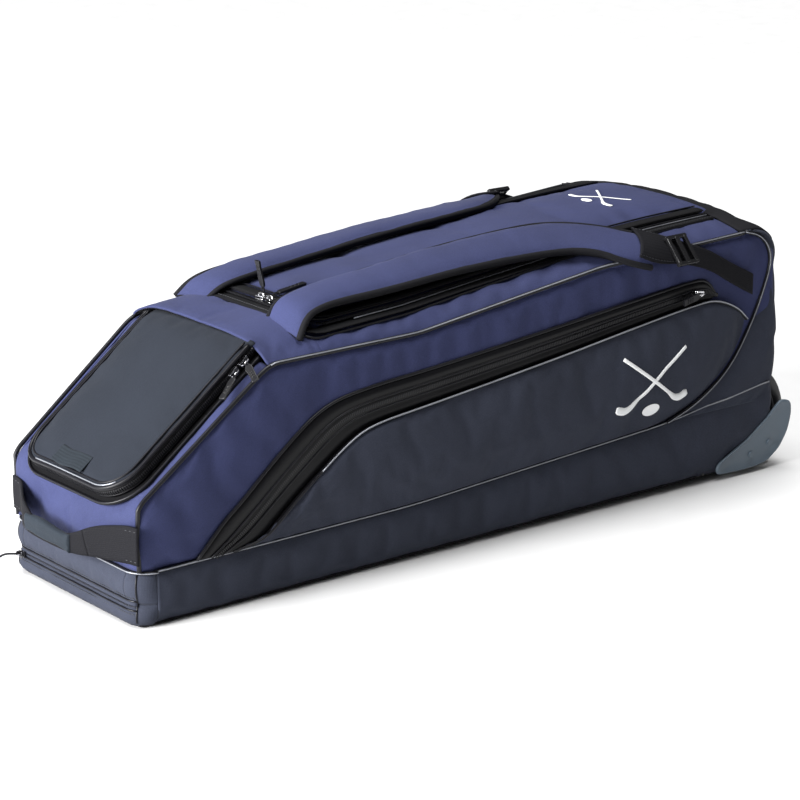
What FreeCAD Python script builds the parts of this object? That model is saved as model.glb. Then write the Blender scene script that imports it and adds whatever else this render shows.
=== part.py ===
import FreeCAD, Part
import math
import os
import Sketcher

# Wheeled equipment bag with a wedge nose, a U-shaped lid, a sloped front pocket, side pockets,
# shoulder straps and two corner wheels. Millimetres; +X runs from the nose to the wheels, +Z is up,
# and the origin is under the middle of the bag, on the floor. "Right" is the -Y side.

Vector = FreeCAD.Vector
doc = FreeCAD.newDocument("EquipmentBag")

DIMENSIONS = [
    # Overall shape
    ("nose_x", -457, "outer face of the nose"),
    ("shell_length", 914, "nose face to end face"),
    ("nose_half", 123, "half width at the nose"),
    ("side_spread", 0.04814, "half width gained per millimetre towards the wheels"),
    ("nose_height", 136, "top of the upright nose"),
    ("ridge_run", 171, "nose face to the ridge above the sloped pocket"),
    ("ridge_height", 265, "side edge at the ridge"),
    ("rise_run", 371, "nose face to where the side edge starts to climb"),
    ("crest_run", 634, "nose face to where the side edge is nearly level"),
    ("crest_height", 300, "side edge at the crest"),
    ("end_height", 306, "side edge at the wheel end"),
    ("skin", 3, "padded fabric wall"),
    ("seam_gap", 0.2, "room left between two sewn walls"),
    # Lower compartment
    ("base_nose_height", 62, "seam of the lower compartment at the nose"),
    ("base_mid_run", 358, "where that seam starts to climb"),
    ("base_mid_height", 66, "seam height there"),
    ("base_seam_run", 739, "where the end cap's seam meets the lower one"),
    ("base_seam_height", 90, "seam height there"),
    ("base_end_height", 117, "seam height at the end face"),
    ("floor_rise", 8, "how far the underside climbs towards the wheels"),
    ("board", 3, "stiffening board"),
    ("sill_height", 25, "fixed strip under the nose zip"),
    ("bulkhead_run", 800, "front of the wheel bulkhead"),
    ("divider", 2.5, "panel between the two compartments"),
    ("chassis_half", 125, "half width between the wheel tubs"),
    ("rail_front", 560, "front end of the skid rails"),
    ("rail_end", 820, "rear end of the skid rails"),
    ("rail_y", 114, "middle of a skid rail"),
    ("rail_half", 8, "half width of a skid rail"),
    ("rail_drop", 3.5, "how far the rails stand below the floor"),
    # Sloped pocket and its flap
    ("window_low", 30, "pocket mouth, lower edge along the slope"),
    ("window_high", 190, "pocket mouth, upper edge along the slope"),
    ("window_half", 84, "pocket mouth, half width"),
    ("pocket_depth", 41, "depth of the pocket under the slope"),
    ("lining", 2, "lining cloth"),
    ("flap_half", 102, "half width of the flap"),
    ("flap_length", 220, "flap, hem to hinge"),
    ("flap_overhang", 2, "flap hem beyond the slope's foot"),
    ("flap_rise", 19, "top of the flap above the slope"),
    ("flap_corner", 40, "corner radius of the flap"),
    ("track", 1.6, "zipper chain and tape"),
    # Top and lid
    ("collar_lip", 282, "top of the collar at the ridge"),
    ("lid_front", 248, "nose face to the lid's front edge"),
    ("lid_length", 607, "lid, front edge to hinge"),
    ("lid_half", 100, "half width of the lid"),
    ("lid_front_edge", 288, "lid's side edge at the front"),
    ("lid_front_crown", 297, "middle of the lid at the front"),
    ("lid_rear_edge", 316, "lid's side edge at the hinge"),
    ("lid_rear_crown", 330, "middle of the lid at the hinge"),
    ("rim_half", 104, "inner edge of the rim beside the lid"),
    # Side pocket
    ("band_rise", 5, "how far the zipper band stands out"),
    ("pocket_rise", 12, "how far the side pocket stands out"),
    ("bend_radius", 60, "bend of the band over the pocket's shoulder"),
    ("seam_radius", 150, "curve of the end cap's seam"),
    # Wheels
    ("wheel_radius", 66, "tyre"),
    ("wheel_run", 881, "nose face to the axle"),
    ("wheel_y", 145, "middle of the wheel"),
    ("wheel_half", 13, "half width of the wheel"),
    ("hub_radius", 52, "inside of the tyre"),
    ("hub_web", 4, "half thickness of the hub's web"),
    ("boss_radius", 17, "hub boss"),
    ("bearing_radius", 11, "outside of the bearing"),
    ("axle_radius", 4, "axle"),
    ("running_gap", 0.05, "axle to bearing"),
    ("tub_radius", 75, "outside of the wheel tub"),
    ("tub_wall", 3, "wall of the wheel tub"),
    ("guard_front", 826, "front of the corner guard"),
    ("guard", 4, "thickness of the corner guard"),
    ("plate", 2.5, "steel axle plate"),
    ("screw_radius", 2, "guard screw"),
    # Straps and handle
    ("strap", 10, "thickness of the padded strap"),
    ("webbing", 2.5, "thickness of webbing"),
    ("handle_reach", 30.5, "handle's outer face beyond the nose"),
    ("handle_low", 74, "lower edge of the handle"),
    ("handle_width", 38, "width of the handle's webbing"),
    ("handle_half", 60, "half length of the handle's straight part"),
    ("grip_half", 50, "half length of the grip"),
    ("grip", 3, "thickness of the grip"),
]

sheet = doc.addObject("Spreadsheet::Sheet", "Bag")
for row, (alias, size, note) in enumerate(DIMENSIONS, start=1):
    sheet.set(f"A{row}", note)
    sheet.set(f"B{row}", str(size))
    sheet.setAlias(f"B{row}", alias)
doc.recompute()

nodes = []


def number(expression):
    """Value of an expression of the spreadsheet, as a plain number."""
    return float(sheet.evalExpression(expression))


def half_width(run, inset="0"):
    """Half width of the bag at a distance from the nose, less an inset."""
    return f"Bag.nose_half + Bag.side_spread * ({run}) - ({inset})"


def inner_half(run):
    """Half width inside the side walls."""
    return half_width(run, "Bag.skin + Bag.seam_gap")


def place(item, base=("0", "0", "0"), axis=None, angle=None):
    """Bind an object's placement to expressions."""
    if axis is not None:
        item.Placement = FreeCAD.Placement(Vector(0, 0, 0), FreeCAD.Rotation(axis, number(angle)))
        item.setExpression("Placement.Rotation.Angle", angle)
    for letter, expression in zip("xyz", base):
        item.setExpression(f"Placement.Base.{letter}", expression)


SLOPE_ANGLE = "atan((Bag.ridge_height - Bag.nose_height) / Bag.ridge_run)"
UPRIGHT_FRAME = dict(base=("Bag.nose_x", "0", "0"))
SIDE_FRAME = dict(base=("Bag.nose_x", "-Bag.nose_half", "0"), axis=Vector(0, 0, -1),
                  angle="atan(Bag.side_spread)")
SLOPE_FRAME = dict(base=("Bag.nose_x", "0", "Bag.nose_height"), axis=Vector(0, -1, 0), angle=SLOPE_ANGLE)
FLOOR_FRAME = dict(base=("Bag.nose_x", "0", "0"), axis=Vector(0, -1, 0),
                   angle="atan(Bag.floor_rise / Bag.shell_length)")


def new_body(label, frame=UPRIGHT_FRAME, keep=True):
    """A body named after its piece, standing in one of the bag's frames."""
    body = doc.addObject("PartDesign::Body", label)
    body.Label = label
    place(body, **frame)
    if keep:
        nodes.append(body)
    return body


def new_sketch(body, name, plane, offset="0"):
    """An empty sketch on one of the body's own origin planes."""
    sketch = body.newObject("Sketcher::SketchObject", name)
    origin_plane = next(f for f in body.Origin.OriginFeatures if f.Role == plane)
    sketch.AttachmentSupport = [(origin_plane, "")]
    sketch.MapMode = "FlatFace"
    sketch.setExpression("AttachmentOffset.Base.z", offset)
    return sketch


def arc_between(start, end, radius, side):
    """Arc between two points, its centre on the left of the way (side 1) or on the right (-1)."""
    chord = end - start
    to_centre = Vector(-chord.y, chord.x, 0) / chord.Length * side
    centre = (start + end) / 2 + to_centre * math.sqrt(radius ** 2 - chord.Length ** 2 / 4)
    first, last = (start, end) if side > 0 else (end, start)
    turn_start, turn_end = [math.atan2(point.y - centre.y, point.x - centre.x) for point in (first, last)]
    if turn_end < turn_start:
        turn_end += 2 * math.pi
    return Part.ArcOfCircle(Part.Circle(centre, Vector(0, 0, 1), radius), turn_start, turn_end)


def draw_loop(sketch, corners):
    """Closed outline. A corner is (x, y), or (x, y, radius, side) where an arc leaves it."""
    first = sketch.GeometryCount
    count = len(corners)
    points = [Vector(number(corner[0]), number(corner[1]), 0) for corner in corners]
    for index, corner in enumerate(corners):
        start = points[index]
        end = points[(index + 1) % count]
        if len(corner) == 2:
            sketch.addGeometry(Part.LineSegment(start, end))
        else:
            sketch.addGeometry(arc_between(start, end, number(corner[2]), corner[3]))

    lines = [sketch.Geometry[first + index] for index in range(count)]
    forward = [(line.StartPoint - point).Length < (line.EndPoint - point).Length
               for line, point in zip(lines, points)]
    for index, corner in enumerate(corners):
        here = first + index
        before = first + (index - 1) % count
        start = 1 if forward[index] else 2
        end_before = 2 if forward[(index - 1) % count] else 1
        for kind, name, size in (("DistanceX", "x", points[index].x), ("DistanceY", "y", points[index].y)):
            added = sketch.addConstraint(Sketcher.Constraint(kind, -1, 1, here, start, size))
            sketch.renameConstraint(added, f"{name}{here}")
            sketch.setExpression(f"Constraints.{name}{here}", corner["xy".index(name)])
        sketch.addConstraint(Sketcher.Constraint("Coincident", before, end_before, here, start))
        if len(corner) == 4:
            added = sketch.addConstraint(Sketcher.Constraint("Radius", here, number(corner[2])))
            sketch.renameConstraint(added, f"r{here}")
            sketch.setExpression(f"Constraints.r{here}", corner[2])


def draw_circle(sketch, x, y, radius):
    """Circle with its centre and radius bound to expressions."""
    here = sketch.GeometryCount
    sketch.addGeometry(Part.Circle(Vector(number(x), number(y), 0), Vector(0, 0, 1), number(radius)))
    for kind, name, expression in (("DistanceX", "x", x), ("DistanceY", "y", y)):
        place_at = sketch.addConstraint(Sketcher.Constraint(kind, -1, 1, here, 3, number(expression)))
        sketch.renameConstraint(place_at, f"{name}{here}")
        sketch.setExpression(f"Constraints.{name}{here}", expression)
    size = sketch.addConstraint(Sketcher.Constraint("Radius", here, number(radius)))
    sketch.renameConstraint(size, f"r{here}")
    sketch.setExpression(f"Constraints.r{here}", radius)


def pad(body, sketch, length, backwards=False):
    """Pad a sketch by an expression."""
    feature = body.newObject("PartDesign::Pad", f"{body.Label}_{sketch.Name}_pad")
    feature.Profile = sketch
    feature.Reversed = backwards
    feature.setExpression("Length", length)
    return feature


def pocket(body, sketch, length, backwards=False):
    """Pocket a sketch by an expression, and make sure that it cuts."""
    doc.recompute()
    before = body.Shape.Volume
    feature = body.newObject("PartDesign::Pocket", f"{body.Label}_{sketch.Name}_cut")
    feature.Profile = sketch
    feature.Reversed = backwards
    feature.setExpression("Length", length)
    doc.recompute()
    if body.Shape.Volume > before - 0.5:
        raise RuntimeError(f"{feature.Label} cuts nothing")
    return feature


def plate(label, plane, loops, thickness, frame=UPRIGHT_FRAME, offset="0", backwards=False, keep=True):
    """A flat piece: one outline, with any further loops as holes in it."""
    body = new_body(label, frame, keep)
    sketch = new_sketch(body, f"{label}_outline", plane, offset)
    for loop in loops:
        draw_loop(sketch, loop)
    pad(body, sketch, thickness, backwards)
    return body


def ribbon(label, sections, drop, frame=UPRIGHT_FRAME, keep=True):
    """A sheet lofted along X. Each section is (run, points across it); drop is (y, z) to its back."""
    body = new_body(label, frame, keep)
    profiles = []
    for index, (run, across) in enumerate(sections):
        sketch = new_sketch(body, f"{label}_section_{index}", "YZ_Plane", run)
        back = [(f"{y} + ({drop[0]})", f"{z} + ({drop[1]})") for y, z in reversed(across)]
        draw_loop(sketch, across + back)
        profiles.append(sketch)
    loft = body.newObject("PartDesign::AdditiveLoft", f"{label}_loft")
    loft.Profile = profiles[0]
    loft.Sections = profiles[1:]
    loft.Ruled = True
    return body


def mirror(source, label, keep=True):
    """The same piece on the other side of the bag."""
    twin = doc.addObject("Part::Mirroring", label)
    twin.Label = label
    twin.Source = source
    twin.Normal = Vector(0, 1, 0)
    if keep:
        nodes.append(twin)
    return twin


def group(label, members):
    """Separate solids that share one node."""
    compound = doc.addObject("Part::Compound", label)
    compound.Label = label
    compound.Links = members
    nodes.append(compound)
    return compound


def block(label, low, high, frame=UPRIGHT_FRAME, keep=True):
    """A straight-edged block between two corners given as expressions."""
    corners = [(low[0], low[1]), (high[0], low[1]), (high[0], high[1]), (low[0], high[1])]
    return plate(label, "XY_Plane", [corners], f"({high[2]}) - ({low[2]})", frame, low[2], keep=keep)


def rectangle(x_low, y_low, x_high, y_high):
    """Corners of a rectangle."""
    return [(x_low, y_low), (x_high, y_low), (x_high, y_high), (x_low, y_high)]


# ---------------------------------------------------------------- lower compartment

def floor_outline(run_start, run_end, inset):
    """Plan of the floor: full width up to the wheel tubs, then the strip between them."""
    wide = f"{inner_half('Bag.bulkhead_run')} - {inset}"
    nose = f"{inner_half('0')} - {inset}"
    narrow = f"Bag.chassis_half - {inset}"
    return [(run_start, f"-({nose})"), ("Bag.bulkhead_run", f"-({wide})"),
            ("Bag.bulkhead_run", f"-({narrow})"), (run_end, f"-({narrow})"), (run_end, narrow),
            ("Bag.bulkhead_run", narrow), ("Bag.bulkhead_run", wide), (run_start, nose)]


INSIDE_NOSE = "Bag.skin + Bag.seam_gap"
INSIDE_END = "Bag.shell_length - Bag.skin - Bag.seam_gap"

RAIL_SLOTS = [rectangle("Bag.rail_front - 0.4", f"{side} * Bag.rail_y - Bag.rail_half - 0.4",
                        "Bag.rail_end + 0.4", f"{side} * Bag.rail_y + Bag.rail_half + 0.4")
              for side in (-1, 1)]
plate("base_floor", "XY_Plane", [floor_outline(INSIDE_NOSE, INSIDE_END, "0")] + RAIL_SLOTS,
      "Bag.skin", FLOOR_FRAME)
plate("base_board", "XY_Plane", [floor_outline("Bag.skin + 4", "Bag.shell_length - 12", "3")],
      "Bag.board", FLOOR_FRAME, offset="Bag.skin")

NOSE_HALF_INSIDE = inner_half("0")
block("base_nose_sill", ("0", f"-({NOSE_HALF_INSIDE})", "0"),
      ("Bag.skin", NOSE_HALF_INSIDE, "Bag.sill_height"))
block("base_nose_flap", ("0", f"-({NOSE_HALF_INSIDE})", "Bag.sill_height + 2"),
      ("Bag.skin", NOSE_HALF_INSIDE, "Bag.base_nose_height - 1"))

DIVIDER_NOSE = inner_half(INSIDE_NOSE)
DIVIDER_END = inner_half("Bag.bulkhead_run")
plate("divider_panel", "XY_Plane",
      [[(INSIDE_NOSE, f"-({DIVIDER_NOSE})"), ("Bag.bulkhead_run", f"-({DIVIDER_END})"),
        ("Bag.bulkhead_run", DIVIDER_END), (INSIDE_NOSE, DIVIDER_NOSE)]],
      "Bag.divider", offset="Bag.base_nose_height")
BULKHEAD_HALF = inner_half("Bag.bulkhead_run - 3")
block("wheel_bulkhead", ("Bag.bulkhead_run - 3", f"-({BULKHEAD_HALF})", "Bag.floor_rise + 6"),
      ("Bag.bulkhead_run", BULKHEAD_HALF, "Bag.base_nose_height - Bag.seam_gap"))

GUARD_LINE = [("Bag.guard_front", "19"), ("Bag.guard_front + 44", "41"), ("Bag.guard_front + 81", "65"),
              ("Bag.shell_length", "72")]
BASE_SEAM = [("Bag.base_seam_run", "Bag.base_seam_height"), ("Bag.base_mid_run", "Bag.base_mid_height"),
             ("0", "Bag.base_nose_height")]
base_gusset = plate("base_gusset_right", "XZ_Plane",
                    [[("0", "0"), ("Bag.guard_front", "Bag.floor_rise * Bag.guard_front / Bag.shell_length")]
                     + GUARD_LINE + [("Bag.shell_length", "Bag.base_end_height")] + BASE_SEAM],
                    "Bag.skin", SIDE_FRAME, backwards=True)
mirror(base_gusset, "base_gusset_left")


def skid_rail():
    """A plastic runner set in a slot of the floor, standing out below it."""
    sections = []
    for run in ("Bag.rail_front", "Bag.rail_end"):
        top = f"Bag.floor_rise * ({run}) / Bag.shell_length + Bag.skin - Bag.seam_gap"
        sections.append((run, [("-Bag.rail_y - Bag.rail_half", top), ("-Bag.rail_y + Bag.rail_half", top)]))
    return ribbon("skid_rail_right", sections, ("0", "-(Bag.skin + Bag.rail_drop)"), keep=False)


right_rail = skid_rail()
group("skid_rails", [right_rail, mirror(right_rail, "skid_rail_left", keep=False)])

# ---------------------------------------------------------------- nose, slope and collar

block("nose_panel", ("0", f"-({NOSE_HALF_INSIDE})", "Bag.base_nose_height + 2"),
      ("Bag.skin", NOSE_HALF_INSIDE, "Bag.nose_height - 4"))

SLOPE_LENGTH = "sqrt(Bag.ridge_run ^ 2 + (Bag.ridge_height - Bag.nose_height) ^ 2)"
RIDGE_HALF = inner_half("Bag.ridge_run")
slope_panel = plate("slope_panel", "XY_Plane",
                    [[("0", f"-({NOSE_HALF_INSIDE})"), (SLOPE_LENGTH, f"-({RIDGE_HALF})"),
                      (SLOPE_LENGTH, RIDGE_HALF), ("0", NOSE_HALF_INSIDE)],
                     rectangle("Bag.window_low", "-Bag.window_half", "Bag.window_high", "Bag.window_half")],
                    "Bag.skin", SLOPE_FRAME, backwards=True)
hinge_lip = new_sketch(slope_panel, "hinge_lip", "XY_Plane")
draw_loop(hinge_lip, rectangle("Bag.window_high + 15", "-Bag.flap_half + 6",
                               "Bag.window_high + 18", "Bag.flap_half - 6"))
pad(slope_panel, hinge_lip, "Bag.flap_rise - Bag.skin - 2")

pocket_lining = plate("pocket_lining", "XY_Plane",
                      [rectangle("Bag.window_low - Bag.lining", "-Bag.window_half - Bag.lining",
                                 "Bag.window_high + Bag.lining", "Bag.window_half + Bag.lining")],
                      "Bag.pocket_depth", SLOPE_FRAME, offset="-Bag.skin", backwards=True)
pocket_space = new_sketch(pocket_lining, "pocket_space", "XY_Plane", "-Bag.skin")
draw_loop(pocket_space,
          rectangle("Bag.window_low", "-Bag.window_half", "Bag.window_high", "Bag.window_half"))
pocket(pocket_lining, pocket_space, "Bag.pocket_depth - Bag.lining")


def top_section(half, edge, shoulder_half, shoulder, crown):
    """Points across the top of the bag, from the right edge to the left one."""
    return [(f"-({half})", edge), (f"-({shoulder_half})", shoulder), ("0", crown),
            (shoulder_half, shoulder), (half, edge)]


COLLAR_START = "Bag.ridge_run + 3"
COLLAR_END = "Bag.lid_front - 4.5"
ribbon("collar_panel",
       [(COLLAR_START, top_section(inner_half(COLLAR_START), "Bag.ridge_height - 2", "Bag.rim_half",
                                   "Bag.collar_lip - 3", "Bag.collar_lip")),
        (COLLAR_END, top_section(inner_half(COLLAR_END), "Bag.ridge_height - 1", "Bag.rim_half",
                                 "Bag.lid_front_edge - 3", "Bag.lid_front_crown - 4"))],
       ("0", "-Bag.skin"))

# ---------------------------------------------------------------- sloped pocket's flap

FLAP_LOW = "-Bag.flap_overhang"


def flap_outline(inset, top):
    """U-shaped outline of the flap, drawn from the right side round its hem."""
    half = f"Bag.flap_half - {inset}"
    low = f"{FLAP_LOW} + {inset}"
    bend = "Bag.flap_corner - Bag.flap_overhang"
    radius = f"Bag.flap_corner - {inset}"
    inner = "Bag.flap_half - Bag.flap_corner"
    return [(bend, f"-({half})"), (top, f"-({half})"), (top, half), (bend, half, radius, 1),
            (low, inner), (low, f"-({inner})", radius, 1)]


def flap_wall(outer_inset, inner_inset, top):
    """U-shaped strip between two insets of the flap's outline."""
    outer = flap_outline(outer_inset, top)
    inner = flap_outline(inner_inset, top)
    way_out = outer[2:] + [outer[0], outer[1]]
    way_back = [inner[1], (*inner[0], f"Bag.flap_corner - {inner_inset}", -1), inner[5][:2],
                (*inner[4], f"Bag.flap_corner - {inner_inset}", -1), inner[3][:2], inner[2]]
    return way_out + way_back


plate("flap_panel", "XY_Plane", [flap_outline("0", "Bag.flap_length")], "Bag.skin", SLOPE_FRAME,
      offset="Bag.flap_rise - Bag.skin")
plate("flap_rim", "XY_Plane", [flap_wall("0", "Bag.skin", "Bag.flap_length - 8")],
      "Bag.flap_rise - Bag.skin - 2", SLOPE_FRAME, offset="2")
plate("flap_zip_track", "XY_Plane", [flap_wall("0", "6", "Bag.flap_length - 16")], "Bag.track", SLOPE_FRAME)
block("flap_label", ("6", "-27", "Bag.flap_rise"), ("24", "23", "Bag.flap_rise + 1.5"), SLOPE_FRAME)

# ---------------------------------------------------------------- side walls, pockets and end cap

END_SEAM_TOP = ("Bag.base_seam_run + 127", "Bag.end_height - 2")
END_SEAM_OUT = ("Bag.base_seam_run + 155", "Bag.base_seam_height + 150")
END_SEAM_LOW = ("Bag.base_seam_run", "Bag.base_seam_height")

side_panel = plate("side_panel_right", "XZ_Plane",
                   [[("0", "Bag.base_nose_height + 0.1"), ("Bag.base_mid_run", "Bag.base_mid_height + 0.1"),
                     ("Bag.base_seam_run - 0.5", "Bag.base_seam_height + 0.1", "Bag.seam_radius * 2", 1),
                     ("Bag.base_seam_run + 154.5", "Bag.base_seam_height + 150", "Bag.seam_radius / 2", 1),
                     ("Bag.base_seam_run + 126.5", "Bag.end_height - 2"),
                     ("Bag.crest_run", "Bag.crest_height"), ("Bag.rise_run", "Bag.ridge_height"),
                     ("Bag.ridge_run", "Bag.ridge_height"), ("0", "Bag.nose_height")]],
                   "Bag.skin", SIDE_FRAME, backwards=True)
mirror(side_panel, "side_panel_left")

end_wrap = plate("end_wrap_right", "XZ_Plane",
                 [[(*END_SEAM_LOW, "Bag.seam_radius * 2", 1), (*END_SEAM_OUT, "Bag.seam_radius / 2", 1),
                   END_SEAM_TOP, ("Bag.shell_length", "Bag.end_height - 2"),
                   ("Bag.shell_length", "Bag.base_end_height + 0.1")]],
                 "Bag.skin", SIDE_FRAME, backwards=True, keep=False)
TUB_TOP = "Bag.wheel_radius + Bag.tub_radius"
END_HALF = half_width("Bag.shell_length", "1")
end_wall = plate("end_wall", "YZ_Plane",
                 [[("-Bag.chassis_half", "Bag.floor_rise + 1"), ("Bag.chassis_half", "Bag.floor_rise + 1"),
                   ("Bag.chassis_half", TUB_TOP), (END_HALF, TUB_TOP), (END_HALF, "Bag.end_height - 6"),
                   ("Bag.lid_half", "Bag.end_height"), ("0", "Bag.end_height + 2.5"),
                   ("-Bag.lid_half", "Bag.end_height"), (f"-({END_HALF})", "Bag.end_height - 6"),
                   (f"-({END_HALF})", TUB_TOP), ("-Bag.chassis_half", TUB_TOP)]],
                 "Bag.skin", offset="Bag.shell_length - Bag.skin", keep=False)
end_cap = doc.addObject("Part::MultiFuse", "end_cap")
end_cap.Label = "end_cap"
end_cap.Shapes = [end_wall, end_wrap, mirror(end_wrap, "end_wrap_left", keep=False)]
nodes.append(end_cap)

CAP_START = "Bag.lid_front + Bag.lid_length + 2"
ribbon("end_cap_top",
       [(CAP_START, top_section(inner_half(CAP_START), "Bag.end_height", "Bag.rim_half",
                                "Bag.lid_rear_edge - 1", "Bag.lid_rear_crown")),
        ("Bag.shell_length", top_section(inner_half("Bag.shell_length"), "Bag.end_height - 2",
                                         "Bag.rim_half", "Bag.end_height + 3.5", "Bag.end_height + 6"))],
       ("0", "-Bag.skin"))

side_pocket = plate("side_pocket_right", "XZ_Plane",
                    [[("122", "Bag.base_mid_height + 1"), ("Bag.base_mid_run", "Bag.base_mid_height + 3"),
                      ("Bag.base_seam_run - 4", "Bag.base_seam_height + 4", "Bag.seam_radius * 2", 1),
                      ("Bag.base_seam_run + 130", "Bag.base_seam_height + 90", "Bag.seam_radius / 2", 1),
                      ("787", "232"), ("623", "211"), ("312", "176", "Bag.bend_radius", 1), ("268", "163")]],
                    "Bag.pocket_rise", SIDE_FRAME)
mirror(side_pocket, "side_pocket_left")
side_zip_band = plate("side_zip_band_right", "XZ_Plane",
                      [[("94", "Bag.base_mid_height"), ("118", "Bag.base_mid_height + 2"),
                        ("264", "165", "Bag.bend_radius + 4", -1), ("311", "179"), ("623", "214"),
                        ("787", "235"), ("796", "248"), ("787", "260"), ("640", "251"),
                        ("303", "217", "Bag.bend_radius + 40", 1), ("230", "197")]],
                      "Bag.band_rise", SIDE_FRAME)
mirror(side_zip_band, "side_zip_band_left")

RIM_FRONT = "Bag.lid_front - 3.5"
RIM_END = "Bag.lid_front + Bag.lid_length + 1"


def rim_section(run, edge, shoulder):
    """Points across one side of the top, outside the lid."""
    return run, [(f"-({inner_half(run)})", edge), ("-Bag.rim_half", shoulder)]


top_rim = ribbon("top_rim_right",
                 [rim_section(RIM_FRONT, "Bag.ridge_height - 1", "Bag.lid_front_edge - 3"),
                  rim_section("Bag.rise_run", "Bag.ridge_height", "Bag.lid_front_edge + 3"),
                  rim_section("Bag.crest_run", "Bag.crest_height", "Bag.lid_front_edge + 15"),
                  rim_section(RIM_END, "Bag.end_height", "Bag.lid_rear_edge - 1")],
                 ("0", "-Bag.skin"))
mirror(top_rim, "top_rim_left")

# ---------------------------------------------------------------- lid

LID_END = "Bag.lid_front + Bag.lid_length"


def lid_section(run, edge, crown):
    """Points across the crowned lid."""
    return run, [("-Bag.lid_half", edge), ("-Bag.lid_half / 2", f"{edge} + ({crown} - {edge}) * 0.75"),
                 ("0", crown), ("Bag.lid_half / 2", f"{edge} + ({crown} - {edge}) * 0.75"),
                 ("Bag.lid_half", edge)]


ribbon("lid_panel", [lid_section("Bag.lid_front", "Bag.lid_front_edge", "Bag.lid_front_crown"),
                     lid_section(LID_END, "Bag.lid_rear_edge", "Bag.lid_rear_crown")], ("0", "-Bag.skin"))


def zip_side(label, side):
    """Zipper chain along one side of the lid."""
    low = f"{side} * (Bag.lid_half + 0.6)"
    high = f"{side} * (Bag.rim_half - 0.6)"
    front = [(low, "Bag.lid_front_edge - 1"), (high, "Bag.lid_front_edge - 1")]
    rear = [(low, "Bag.lid_rear_edge - 1"), (high, "Bag.lid_rear_edge - 1")]
    return ribbon(label, [("Bag.lid_front", front), (LID_END, rear)], ("0", "-Bag.track"), keep=False)


front_chain = ribbon("front_chain",
                     [(run, [("-Bag.lid_half", "Bag.lid_front_edge - 2"), ("0", "Bag.lid_front_crown - 3"),
                             ("Bag.lid_half", "Bag.lid_front_edge - 2")])
                      for run in ("Bag.lid_front - 4", "Bag.lid_front - 2")],
                     ("0", "-Bag.track"), keep=False)
group("lid_zip_track", [front_chain, zip_side("right_chain", "-1"), zip_side("left_chain", "1")])

# ---------------------------------------------------------------- wheels and corner guards

WHEEL_CENTRE = ("Bag.nose_x + Bag.wheel_run", "-Bag.wheel_y", "Bag.wheel_radius")
WHEEL_FRAME = dict(base=WHEEL_CENTRE)


def revolved(label, corners):
    """A ring turned about the wheel's axle."""
    body = new_body(label, WHEEL_FRAME)
    sketch = new_sketch(body, f"{label}_profile", "XY_Plane")
    draw_loop(sketch, corners)
    turn = body.newObject("PartDesign::Revolution", f"{label}_turn")
    turn.Profile = sketch
    turn.ReferenceAxis = (sketch, ["V_Axis"])
    return body


tyre = revolved("tyre_right",
                [("Bag.hub_radius", "-Bag.wheel_half"), ("Bag.wheel_radius - 5", "-Bag.wheel_half"),
                 ("Bag.wheel_radius", "-Bag.wheel_half + 6"), ("Bag.wheel_radius", "Bag.wheel_half - 6"),
                 ("Bag.wheel_radius - 5", "Bag.wheel_half"), ("Bag.hub_radius", "Bag.wheel_half")])
hub = revolved("hub_right",
               [("Bag.bearing_radius", "-Bag.wheel_half"), ("Bag.boss_radius", "-Bag.wheel_half"),
                ("Bag.boss_radius", "-Bag.hub_web"), ("Bag.hub_radius - 4", "-Bag.hub_web"),
                ("Bag.hub_radius - 4", "-Bag.wheel_half + 1"), ("Bag.hub_radius", "-Bag.wheel_half + 1"),
                ("Bag.hub_radius", "Bag.wheel_half - 1"), ("Bag.hub_radius - 4", "Bag.wheel_half - 1"),
                ("Bag.hub_radius - 4", "Bag.hub_web"), ("Bag.boss_radius", "Bag.hub_web"),
                ("Bag.boss_radius", "Bag.wheel_half"), ("Bag.bearing_radius", "Bag.wheel_half")])


def bearing_pair():
    """Two bearings, one at each end of the hub's bore."""
    rings = []
    for end, side in (("outer", "-1"), ("inner", "1")):
        ring = doc.addObject("Part::Cut", f"bearing_{end}")
        parts = []
        for part, radius in (("race", "Bag.bearing_radius"), ("bore", "Bag.axle_radius + Bag.running_gap")):
            cylinder = doc.addObject("Part::Cylinder", f"bearing_{end}_{part}")
            cylinder.setExpression("Radius", radius)
            cylinder.Height = 7
            middle = f"-Bag.wheel_y + {side} * (Bag.wheel_half - 4) + 3.5"
            place(cylinder, (WHEEL_CENTRE[0], middle, WHEEL_CENTRE[2]), Vector(1, 0, 0), "90")
            parts.append(cylinder)
        ring.Base, ring.Tool = parts
        rings.append(ring)
    group("bearings_right", rings)
    return nodes[-1]


bearings = bearing_pair()
mirror(tyre, "tyre_left")
mirror(hub, "hub_left")
mirror(bearings, "bearings_left")

TUB_OPEN = "Bag.wheel_y + Bag.wheel_half + Bag.seam_gap"
TUB_BACK = "Bag.chassis_half + 4"


def tub_outline(inset):
    """Arch over the wheel, from its front wall to the end face."""
    radius = f"Bag.tub_radius - {inset}"
    run_end = "Bag.shell_length - Bag.skin - Bag.seam_gap"
    rise = f"sqrt(({radius}) ^ 2 - ({run_end} - Bag.wheel_run) ^ 2)"
    front = f"Bag.wheel_run - ({radius})"
    return [(run_end, "Bag.floor_rise"), (run_end, f"Bag.wheel_radius + {rise}", radius, 1),
            ("Bag.wheel_run", f"Bag.wheel_radius + {radius}", radius, 1),
            (front, "Bag.wheel_radius"), (front, "Bag.floor_rise")]


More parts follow.
